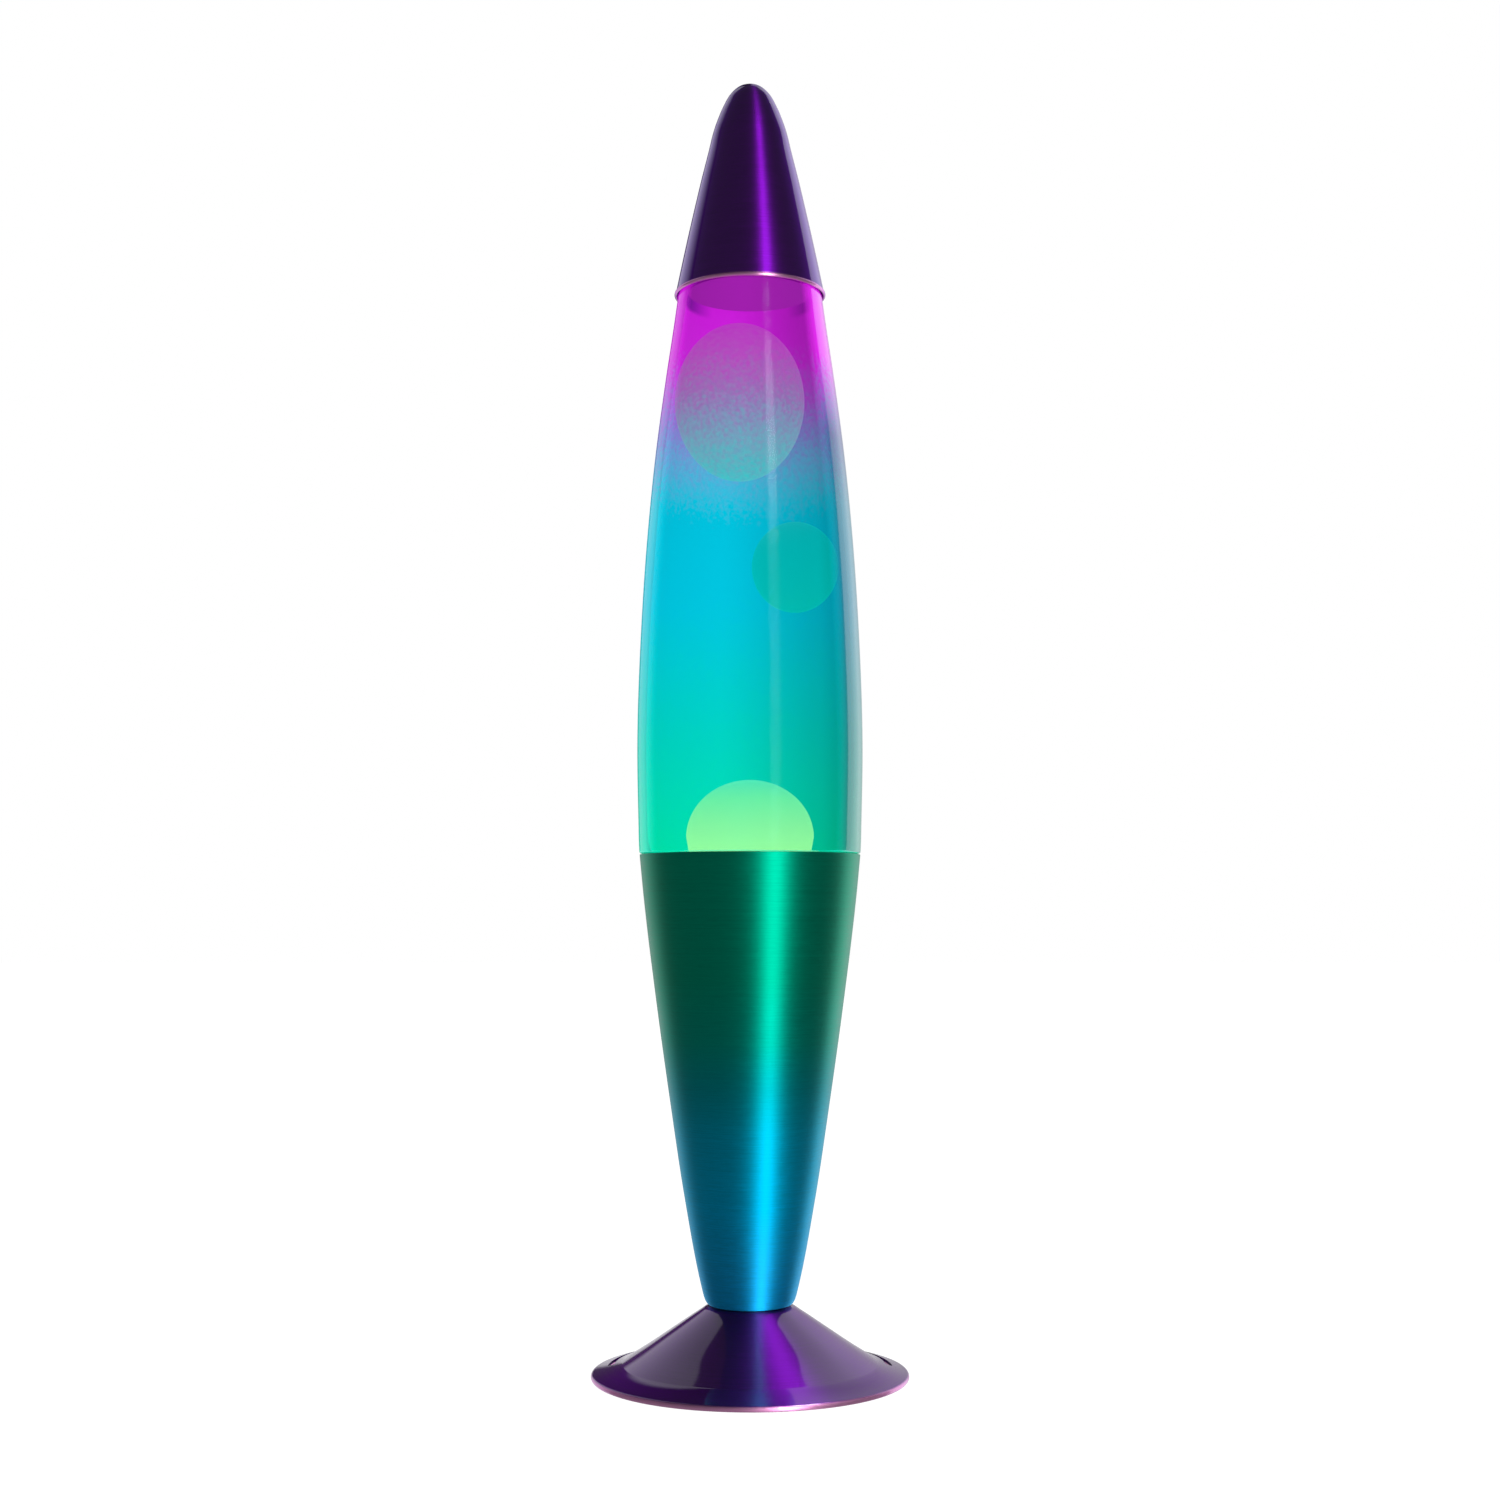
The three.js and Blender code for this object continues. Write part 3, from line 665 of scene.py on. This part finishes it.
black_moulding = plain("black_moulding", (0.012, 0.012, 0.014), 0.5, vary=0.3)
zinc = plain("zinc", (0.55, 0.58, 0.62), 0.34, 1.0, 0.12, (300, 300, 300))
brass = plain("brass", (0.75, 0.5, 0.17), 0.3, 1.0, 0.1, (300, 300, 300))
phenolic = plain(
    "phenolic", (0.02, 0.013, 0.009), 0.4, vary=0.4, scale=(900, 900, 900), Coat_Weight=0.3
)
black_pvc = plain("black_pvc", (0.015, 0.015, 0.016), 0.45, vary=0.2)
white_pvc = plain("white_pvc", (0.78, 0.76, 0.7), 0.45, vary=0.05)
nylon = plain("nylon", (0.68, 0.62, 0.46), 0.5, vary=0.06, Subsurface_Weight=0.2)
nickel = plain("nickel", (0.62, 0.59, 0.53), 0.26, 1.0, 0.1, (300, 300, 300))
vitrite = plain("vitrite", (0.01, 0.01, 0.014), 0.15, vary=0.3, Coat_Weight=0.6)
solder = plain("solder", (0.58, 0.58, 0.57), 0.3, 1.0, 0.12, (500, 500, 500), 0.4)
seal = plain("seal", (0.75, 0.72, 0.62), 0.75, vary=0.06)
coil_steel = plain("coil_steel", (0.5, 0.48, 0.45), 0.32, 1.0, 0.12, (400, 400, 400))

# The cover is a shallow moulded disc: a raised rim, a ring of ribs and ten vents.
cover_line = [(0, 0.5), (18, 0.5), (18.4, 0.4), (20.2, 0.4), (20.6, 0.5), (37.6, 0.5), (38, 0.4)]
cover_line += [(39.9, 0.4), (40.2, 0.65), (40.2, 1.0), (40.0, 1.2), (37, 1.2), (36.7, 1.0)]
cover_line += [(0, 1.0)]
vents = []
for i in range(VENTS):
    vent = lathe("vent", [(0, -1), (2.6, -1), (2.6, 3), (0, 3)], 32)
    vents.append(shifted(vent, *polar(VENT_CIRCLE, 360 / VENTS * i)))
cover = cut(lathe("cover", cover_line), *vents)
fitted("cover", cover, "base", black_moulding, "bottom_cover")

bushing_line = [(2.3, 0.5), (2.7, 0.1), (3.3, 0), (3.5, 0.25), (3.5, 1.6), (3.15, 1.9)]
bushing_line += [(3.15, 8.6), (3.5, 8.9), (3.5, 11.1), (3.2, 11.5), (2.7, 11.4), (2.3, 10.9)]
bushing = moved(lathe("bushing", bushing_line, 64), lambda x, y, z: (x, 26.5 + z, INLET_Z - y))
fitted("bushing", bushing, "base", black_moulding, "cord_bushing")


def nipple_outside(z, turn):
    """A fine thread, 1 mm a turn, with chamfered ends."""
    end = min(z - 12.5, 32 - z)
    return min(4.4 + 0.35 * wave(z - turn), 4.25 + end)


fitted(
    "nipple",
    sleeve("nipple", 12.5, 32, lambda z, t: 3.3, nipple_outside, 0.125, 64),
    "base",
    zinc,
    "waist_nipple",
    60,
)


def hex_nut(low):
    """A nut 14 mm across its flats, with chamfered corners."""
    high = low + 2.8

    def outside(z, turn):
        depth = min(z - low, high - z)
        flat = 7 / math.cos((2 * math.pi * turn) % (math.pi / 3) - math.pi / 6)
        return min(flat, 6.85 + 1.73 * depth)

    def bore(z, turn):
        return max(WAIST_HOLE, 5.5 - min(z - low, high - z))

    return sleeve("hex_nut", low, high, bore, outside, 0.14, 120)


def washer(low):
    def outside(z, turn):
        return 8.25 + min(min(z - low, low + 0.6 - z), 0.15)

    return sleeve("washer", low, low + 0.6, lambda z, t: WAIST_HOLE, outside, 0.1)


for where, washer_z, nut_z in (("upper", 21.0, 21.8), ("lower", 17.9, 14.9)):
    washer_node, nut_node = "waist_washer_" + where, "waist_nut_" + where
    fitted("washer_" + where, washer(washer_z), "base", zinc, washer_node)
    fitted("nut_" + where, hex_nut(nut_z), "base", brass, nut_node, 25)

holder_line = [(WAIST_HOLE, 25.6), (10.2, 25.6), (10.9, 26.0), (11.2, 26.6)]
holder_line += [(12.1, 31.2), (12.2, 31.8)]
holder_line += [(12.2, z) for z in np.arange(32.5, 55.6, 0.5)]
holder_line += [(12.2, 56.6), (12.0, 57.2), (11.6, 57.5), (10.2, 57.5), (9.8, 57.3), (9.7, 56.9)]
holder_line += [(9.7, 33.1), (9.4, 32.7), (9.0, 32.6), (WAIST_HOLE, 32.6)]
holder = fluted(lathe("holder", holder_line), 30, 0.5, 33.5, 52.5, 12.1)
fitted("holder", holder, "base", phenolic, "lampholder_body")


def thread(root, low, high):
    """A rolled thread that runs out towards both ends."""

    def radius(z, turn):
        fade = min(max(min(z - low, high - z) / 1.5, 0), 1)
        return root + 0.36 * fade * wave(z / THREAD_PITCH - turn)

    return radius


inside_thread = thread(8.62, 40, 56.6)
fitted(
    "holder_shell",
    sleeve("holder_shell", 40, 56.6, inside_thread, lambda z, t: inside_thread(z, t) + 0.4),
    "base",
    brass,
    "lampholder_screw_shell",
    60,
)

leaf_bow = [(-6, 35.3), (-4.2, 36.2), (-2, 37.15), (0, 37.3), (2, 37.15), (3.6, 36.6), (5, 36.1)]
leaf_top = smooth(leaf_bow, 6)
leaf_under = [(y, z - 0.4) for y, z in leaf_top[::-1]]
leaf_edge = leaf_top + leaf_under
count = len(leaf_edge)
leaf_verts = [(x, y, z) for x in (-2, 2) for y, z in leaf_edge]
leaf_faces = sides_between(count)
for k in (0, count):
    for i in range(count // 2 - 1):
        leaf_faces.append((k + i, k + i + 1, k + count - 2 - i, k + count - 1 - i))
fitted(
    "contact_leaf",
    mesh_from("contact_leaf", leaf_verts, leaf_faces),
    "bulb_contact",
    brass,
    "centre_contact",
)


def terminal(side):
    """A clamp block with a slotted screw in its top."""
    clamp = block("clamp", (side * TERMINAL_X, 0, 34.15), (3.2, 5, 2.1), 0.3)
    head = lathe("head", [(0, 34.8), (1.25, 34.8), (1.25, 35.5), (1.05, 35.7), (0, 35.7)], 48)
    slot_tool = block("slot", (0, 0, 35.7), (0.36, 4, 0.7), 0.02)
    return joined("terminal", clamp, shifted(cut(head, slot_tool), side * TERMINAL_X, 0))


def splice_cap(side):
    """A ribbed cap that lies on its side, with its mouth towards the axis."""
    line = [(0, 8), (1.7, 8), (1.9, 7.7), (1.9, 0.3), (2.2, 0), (2.5, 0), (2.7, 0.2), (2.7, 1.1)]
    line += [(2.7, z) for z in np.arange(1.5, 9.1, 0.5)]
    line += [(2.6, 9.6), (2.3, 10.8), (1.9, 11.5), (1.3, 11.9), (0, 12)]
    cap_mesh = fluted(lathe("splice_cap", line, 96), 12, 0.35, 1.2, 9, 2.55)
    return moved(cap_mesh, lambda x, y, z: (side * (12.6 + z), y, 6 + x))


for line, side, insulation in (("live", -1, black_pvc), ("neutral", 1, white_pvc)):
    fitted("terminal_look_" + line, terminal(side), "base", brass, "terminal_" + line)
    way = smooth(
        [
            (side * 4.8, 0, 34.4),
            (side * 3.2, 0, 34.0),
            (side * 2.2, 0, 33),
            (side * 1.6, 0, 31),
            (side * 1.5, 0, 28),
            (side * 1.5, 0, 20),
            (side * 1.5, 0, 13),
            (side * 2.3, 0, 9.6),
            (side * 4.6, 0, 7.4),
            (side * 8, 0, 6.3),
            (side * 12.3, 0, 6),
        ],
        6,
    )
    lead = rod("lead", way, 0.8, 20)
    fitted("lead_look_" + line, lead, "base", insulation, "lead_" + line)
    splice = splice_cap(side)
    fitted("splice_look_" + line, splice, "base", nylon, "splice_cap_" + line)

# ---- bulb ----

bulb_side = [(7.2, 55), (7.2, 57.6), (7.6, 59.6), (9.0, 62.0), (11.3, 64.4)]
bulb_side += arc((0, 77.1), 17.5, -38, 90, 19)
bulb_line = smooth(bulb_side, 4)
bulb_line[-1] = (0, 94.6)
bulb_inside = inset(bulb_line, 0.7)[::-1]
bulb_inside[0] = (0, 93.9)
fitted(
    "envelope",
    lathe("envelope", bulb_inside + bulb_line, 128),
    "bulb",
    clear_glass("bulb_glass_look", 0.12),
    "bulb_envelope",
)
stem_line = [(0, 55.4), (5.6, 55.4), (5.9, 55.8), (5.2, 56.6), (3.6, 57.8), (2.7, 59.2)]
stem_line += [(2.2, 61), (2.1, 63), (2.1, 65.6), (1.9, 66.5), (1.3, 66.9), (0, 67)]
fitted(
    "stem",
    lathe("stem", stem_line, 64),
    "bulb",
    clear_glass("stem_glass_look", 0.2),
    "bulb_stem",
)

bow = [(-FILAMENT_HALF, 0, 77), (-3.1, 2.2, 78.2), (0, 3.0, 78.6), (3.1, 2.2, 78.2)]
coil_path = smooth(bow + [(FILAMENT_HALF, 0, 77)], 80)
coiled = []
for i, (x, y, z) in enumerate(coil_path):
    a = 2 * math.pi * i / 8
    coiled.append((x, y + 0.3 * math.cos(a), z + 0.3 * math.sin(a)))
fitted(
    "filament",
    rod("filament", coiled, 0.11, 6),
    "bulb",
    hot_filament(),
    "bulb_filament",
    80,
)
for where, side in (("left", -1), ("right", 1)):
    bends = [(1.2, 67.3), (2.0, 69), (3.6, 71.8), (FILAMENT_HALF, 76.4)]
    wire = smooth([(side * x, 0, z) for x, z in bends], 6)
    fitted(
        "support_" + where,
        rod("support", wire, 0.28, 12),
        "bulb",
        nickel,
        "bulb_lead_wire_" + where,
    )

base_thread = thread(7.94, 43.9, 56.4)


def base_outside(z, turn):
    end = max(0.0, 1 - (z - 43.6) / 0.7)
    return base_thread(z, turn) - 0.5 * end**2


fitted(
    "screw_base",
    sleeve("screw_base", 43.6, 57.2, lambda z, t: base_outside(z, t) - 0.35, base_outside),
    "bulb",
    nickel,
    "bulb_screw_base",
    60,
)
insulator_line = [(0, 39.5), (3.2, 39.5), (3.5, 39.7), (4.6, 40.8), (6.4, 42.2), (7.2, 42.9)]
insulator_line += [(7.3, 43.2), (0, 43.3)]
fitted(
    "base_insulator_look",
    lathe("base_insulator_look", insulator_line, 96),
    "bulb",
    vitrite,
    "bulb_base_insulator",
)
tip_line = [(0, 37.6), (1.1, 37.65), (1.9, 37.9), (2.4, 38.3), (2.7, 38.7), (2.8, 39.0)]
tip_line += [(2.75, 39.2), (0, 39.2)]
fitted("tip", lathe("tip", tip_line, 64), "bulb", solder, "bulb_tip_contact")

# ---- bottle ----

wall = smooth(
    [
        (31.35, 148.6),
        (31.88, 175.9),
        (31.0, 206.8),
        (29.3, 234.4),
        (27.0, 258.7),
        (24.3, 279.7),
        (21.65, 298),
        (20.7, 305),
    ],
    8,
)
skirt = [(0, 104), (16, 103.1), (17.6, 102.2), (20.4, 102.2), (22.4, 102.5), (23.4, 103.4)]
skirt += [(23.9, 104.4), (24.2, 105.6), (29.2, 143.6), (29.5, 144.6)]
shoulder = [(29.8, 144.8), (30.7, 144.88), (31.0, 144.98), (31.16, 145.2), (31.2, 145.5)]
shoulder += [(31.28, 147)]
neck = [(20.7, 305), (18.9, 310), (16, 314.2), (13, 317.2), (12.1, 319), (12.1, 320.6)]
neck = smooth(neck, 4)[1:]
lip = [(13.1, 321.6), (13.1, 325.8), (12.3, 326.6), (8.8, 326.6)]
inner_neck = [(8.8, 318.6), (10.6, 315.6), (14.4, 312), (17, 308.4)]
inner_wall = inset(wall, GLASS)
inner_foot = [(26.9, 142), (22.4, 107.8), (20.6, 106.2), (0, 106.6)]
inside = inner_neck + inner_wall[::-1] + inner_foot
outside = skirt + shoulder + wall + neck + lip
bottle_mesh = lathe("bottle", outside + inside)
bottle = fitted(
    "bottle", bottle_mesh, "globe", sprayed_glass(), "globe_bottle"
)
bottle.data.materials.append(clear_glass("clear_glass_inner"))


def inside_radius(z):
    """The bottle's inner radius at a height."""
    line = sorted((zz, rr) for rr, zz in inner_foot[:3] + inner_wall + inner_neck)
    return float(np.interp(z, [p[0] for p in line], [p[1] for p in line]))


# The outer skin carries the colour; every face nearer the axis than mid-wall is clear.
for face in bottle.data.polygons:
    x, y, z = face.center / MM
    faces_in = face.normal.dot((x, y, 0)) < 0
    if z < RIM_Z or faces_in or math.hypot(x, y) < inside_radius(z) + 1:
        face.material_index = 1

dome_foot = [(23.9, 129), (18, 130.5), (14.9, 133.2), (14.2, 138), (16.6, 143), (18, 149.5)]
dome = smooth(dome_foot, 5)[:-1]
dome += [(18 * math.cos(a), 149.5 + 16.2 * math.sin(a)) for a in np.linspace(0, math.pi / 2, 25)]
dome[-1] = (0, 165.7)
pool_floor = [(0, 106.9), (14.9, 106.9), (14.9, 112), (20.3, 112), (20.3, 106.9), (21, 107.8)]
pool_floor += [(22.2, 109.5)]
WAX_GLOW = [
    (106, (1.0, 0.85, 0.2)),
    (130, (0.9, 0.95, 0.25)),
    (140, (0.8, 1.05, 0.34)),
    (145, (0.85, 1.15, 0.36)),
    (152, (0.66, 1.05, 0.36)),
    (160, (0.4, 0.98, 0.38)),
    (166, (0.2, 0.85, 0.5)),
]
pool = lathe("wax_pool_look", pool_floor + dome)
fitted("wax_pool_look", pool, "globe", glow("wax_low", WAX_GLOW), "wax_pool")

liquid_side = [(inside_radius(z) - LIQUID_GAP, z) for z in np.linspace(130.2, LIQUID_Z, 60)]
liquid_top = [(17.6, LIQUID_Z), (0, LIQUID_Z)]
liquid_bottom = [(0, 166.0)] + [(r + 0.25, z + 0.15) for r, z in dome[::-1][1:] if r < 23.5]
liquid_mesh = lathe("liquid", liquid_bottom + liquid_side + liquid_top)
liquid = fitted("liquid", liquid_mesh, "globe", lit_liquid(), "lava_liquid")
liquid.data.materials.append(clear_liquid())

# Only the liquid's outer wall and its top are lit; its faces against the wax stay clear.
for face in liquid.data.polygons:
    x, y, z = face.center / MM
    if z < LIQUID_Z - 0.1 and math.hypot(x, y) < inside_radius(z) - LIQUID_GAP - 0.6:
        face.material_index = 1

LARGE_GLOW = [
    (250, (0.14, 0.56, 0.5)),
    (262, (0.3, 0.5, 0.48)),
    (275, (0.42, 0.24, 0.42)),
    (297, (0.5, 0.08, 0.5)),
]
large = ellipsoid("wax_large_look", (-3, 0, 274.3), (18.6, 16.5, 22.8))
wax_upper = glow("wax_upper", LARGE_GLOW, 5)
fitted("wax_large_look", large, "wax_large", wax_upper, "wax_blob_large")

SMALL_GLOW = [(213, (0.0, 0.5, 0.34)), (239, (0.0, 0.42, 0.36))]
small = ellipsoid("wax_small_look", (12.8, -3, 226), (12.3, 12.3, 12.9))
wax_middle = glow("wax_middle", SMALL_GLOW)
fitted("wax_small_look", small, "wax_small", wax_middle, "wax_blob_small")


def crimp(x, y, z):
    """The crown's skirt, pressed into flutes that deepen towards its edge."""
    r = math.hypot(x, y)
    if r < 12.8:
        return x, y, z
    depth = 0.42 * min(max((327.2 - z) / 3.5, 0), 1)
    k = 1 - depth / r * wave(CROWN_FLUTES * math.atan2(y, x) / (2 * math.pi))
    return x * k, y * k, z


liner_line = [(0, 326.9), (11.7, 326.9), (12, 327.1), (12, 327.4), (11.7, 327.6), (0, 327.6)]
fitted("liner", lathe("liner", liner_line, 96), "globe", seal, "crown_liner")

crown_line = [(0, 328.4), (11.6, 328.4), (12.5, 328.2), (13.2, 327.7), (13.7, 326.9)]
crown_line += [(13.75 + 0.055 * k, 326.5 - 0.45 * k) for k in range(10)]
crown_line += [(14.2, 322), (13.75, 322)] + [(13.7 - 0.03 * k, 322.5 + 0.45 * k) for k in range(9)]
crown_line += [(13.1, 327.1), (12.3, 327.9), (0, 327.9)]
crown = moved(lathe("crown", crown_line, 12 * CROWN_FLUTES), crimp)
fitted("crown", crown, "globe", zinc, "crown_cap", 50)

ring = []
for i in range(COIL_TURNS * 12):
    around, twist = 2 * math.pi * i / (COIL_TURNS * 12), 2 * math.pi * i / 12
    r = 17.6 + 2.05 * math.cos(twist)
    ring.append((r * math.cos(around), r * math.sin(around), 109.3 + 2.05 * math.sin(twist)))
coil = rod("coil", ring, 0.34, 8, True)
fitted("coil", coil, "globe", coil_steel, "heat_coil", 80)

# ---- cap ----

cap_side = [(21.3, 306.1), (19.9, 313), (16, 331), (14, 339.7), (12, 347.8), (10.5, 354)]
cap_side += [(9.3, 357.5), (7.8, 361.1), (5.8, 364.7), (3.2, 367.1), (0, HEIGHT)]
cap_side = smooth(cap_side, 6)
cap_side[-1] = (0, HEIGHT)
cap_inner = inset(cap_side, CAP_SHEET)[::-1]
cap_inner[0] = (0, HEIGHT - CAP_SHEET)
cap_bead = arc((21.2, 305.55), 0.55, -90, 60, 8)
cap = lathe("cap", cap_bead + cap_side + cap_inner[:-1] + [(20.7, 306)])
fitted("cap", cap, "cap", cap_lacquer, "top_cap")

# ---- studio ----


def stage_material(name, colour, strength, diffuse=0.0):
    f = Finish(name)
    light = f.node("Emission", None, {"Color": (*colour, 1), "Strength": strength}).outputs[0]
    if diffuse:
        matt = f.node("BsdfDiffuse", None, {"Color": (1, 1, 1, 1)}).outputs[0]
        light = f.node("MixShader", None, {0: diffuse, 1: light, 2: matt}).outputs[0]
    return f.done(light)


def backdrop_material():
    """Two white panels behind the lamp, a dark gap apart; the left one fades out to the left."""
    f = Finish("backdrop_white")
    place = f.node("SeparateXYZ", None, {0: f.place()})
    x, z = place.outputs["X"], place.outputs["Z"]
    fade = f.node(
        "MapRange",
        {"interpolation_type": "SMOOTHSTEP"},
        {"Value": x, "From Min": -3.2, "From Max": -0.6, "To Min": 0.0, "To Max": 1.0},
    ).outputs[0]
    right = f.math("MULTIPLY", f.spread(x, 0.04, 0.1), f.spread(x, 0.4, 0.8, 0.75, 1.5))
    low = f.math("MULTIPLY", f.spread(z, 0.17, 0.1), f.spread(x, 0.0, -0.06))
    left = f.math("MULTIPLY", f.math("MAXIMUM", f.spread(x, -0.42, -0.5), low), fade)
    light = f.math("MAXIMUM", f.math("MAXIMUM", left, right), 0.04)
    return f.done(f.node("Emission", None, {"Strength": light}).outputs[0])


floor_mesh = bpy.data.meshes.new("floor")
floor_mesh.from_pydata([(-6, -6, 0), (6, -6, 0), (6, 6, 0), (-6, 6, 0)], [], [(0, 1, 2, 3)])
floor = bpy.data.objects.new("floor", floor_mesh)
floor_mesh.materials.append(stage_material("floor_white", (1, 1, 1), 1.2, 0.15))
floor.visible_glossy = False
floor.visible_shadow = False
backdrop_mesh = bpy.data.meshes.new("backdrop")
backdrop_mesh.from_pydata(
    [(-3.4, 1.2, -0.9), (2.25, 1.2, -0.9), (2.25, 1.2, 2.9), (-3.4, 1.2, 2.9)], [], [(0, 1, 2, 3)]
)
backdrop = bpy.data.objects.new("backdrop", backdrop_mesh)
backdrop_mesh.materials.append(backdrop_material())
backdrop.visible_camera = False
for obj in (floor, backdrop):
    bpy.context.scene.collection.objects.link(obj)


def softbox(name, azimuth, distance, centre_z, width, height, power, dip=0):
    """A soft light that faces the lamp's axis, azimuth degrees from the front towards +X."""
    light = bpy.data.lights.new(name, "AREA")
    light.shape = "RECTANGLE"
    light.size, light.size_y = width, height
    light.energy = power
    obj = bpy.data.objects.new(name, light)
    a = math.radians(azimuth)
    obj.location = (distance * math.sin(a), -distance * math.cos(a), centre_z)
    obj.rotation_euler = (math.pi / 2 - math.radians(dip), 0, a)
    obj.visible_camera = False
    bpy.context.scene.collection.objects.link(obj)
    return obj


softbox("strip", azimuth=26.2, distance=1.5, centre_z=0.2, width=0.27, height=2.0, power=28)
high = softbox(
    "high", azimuth=95, distance=0.55, centre_z=1.45, width=0.3, height=0.3, power=13, dip=68
)
foot_only = bpy.data.collections.new("foot_only")
foot_only.objects.link(foot)
high.light_linking.receiver_collection = foot_only

world = bpy.data.worlds.new("studio")
bpy.context.scene.world = world
world.use_nodes = True
nodes, links = world.node_tree.nodes, world.node_tree.links
nodes.clear()
path = nodes.new("ShaderNodeLightPath")
seen = nodes.new("ShaderNodeBackground")
seen.inputs["Color"].default_value = (1, 1, 1, 1)
around = nodes.new("ShaderNodeBackground")
place = nodes.new("ShaderNodeTexCoord")
split = nodes.new("ShaderNodeSeparateXYZ")
level = nodes.new("ShaderNodeMapRange")
level.inputs["From Min"].default_value = -0.3
level.inputs["From Max"].default_value = 0.5
level.inputs["To Min"].default_value = 0.4
level.inputs["To Max"].default_value = 0.14
links.new(place.outputs["Generated"], split.inputs[0])
links.new(split.outputs["Z"], level.inputs["Value"])
links.new(level.outputs[0], around.inputs["Strength"])
chosen = nodes.new("ShaderNodeMixShader")
out = nodes.new("ShaderNodeOutputWorld")
links.new(path.outputs["Is Camera Ray"], chosen.inputs[0])
links.new(around.outputs[0], chosen.inputs[1])
links.new(seen.outputs[0], chosen.inputs[2])
links.new(chosen.outputs[0], out.inputs["Surface"])

camera = bpy.data.cameras.new("camera")
camera.lens = 51.84
camera.sensor_width = 36
camera_object = bpy.data.objects.new("camera", camera)
camera_object.location = (0, -0.610, 0.1257)
camera_object.rotation_euler = (math.radians(90 + 4.55), 0, 0)
bpy.context.scene.collection.objects.link(camera_object)
bpy.context.scene.camera = camera_object
bpy.context.scene.view_settings.view_transform = "Standard"
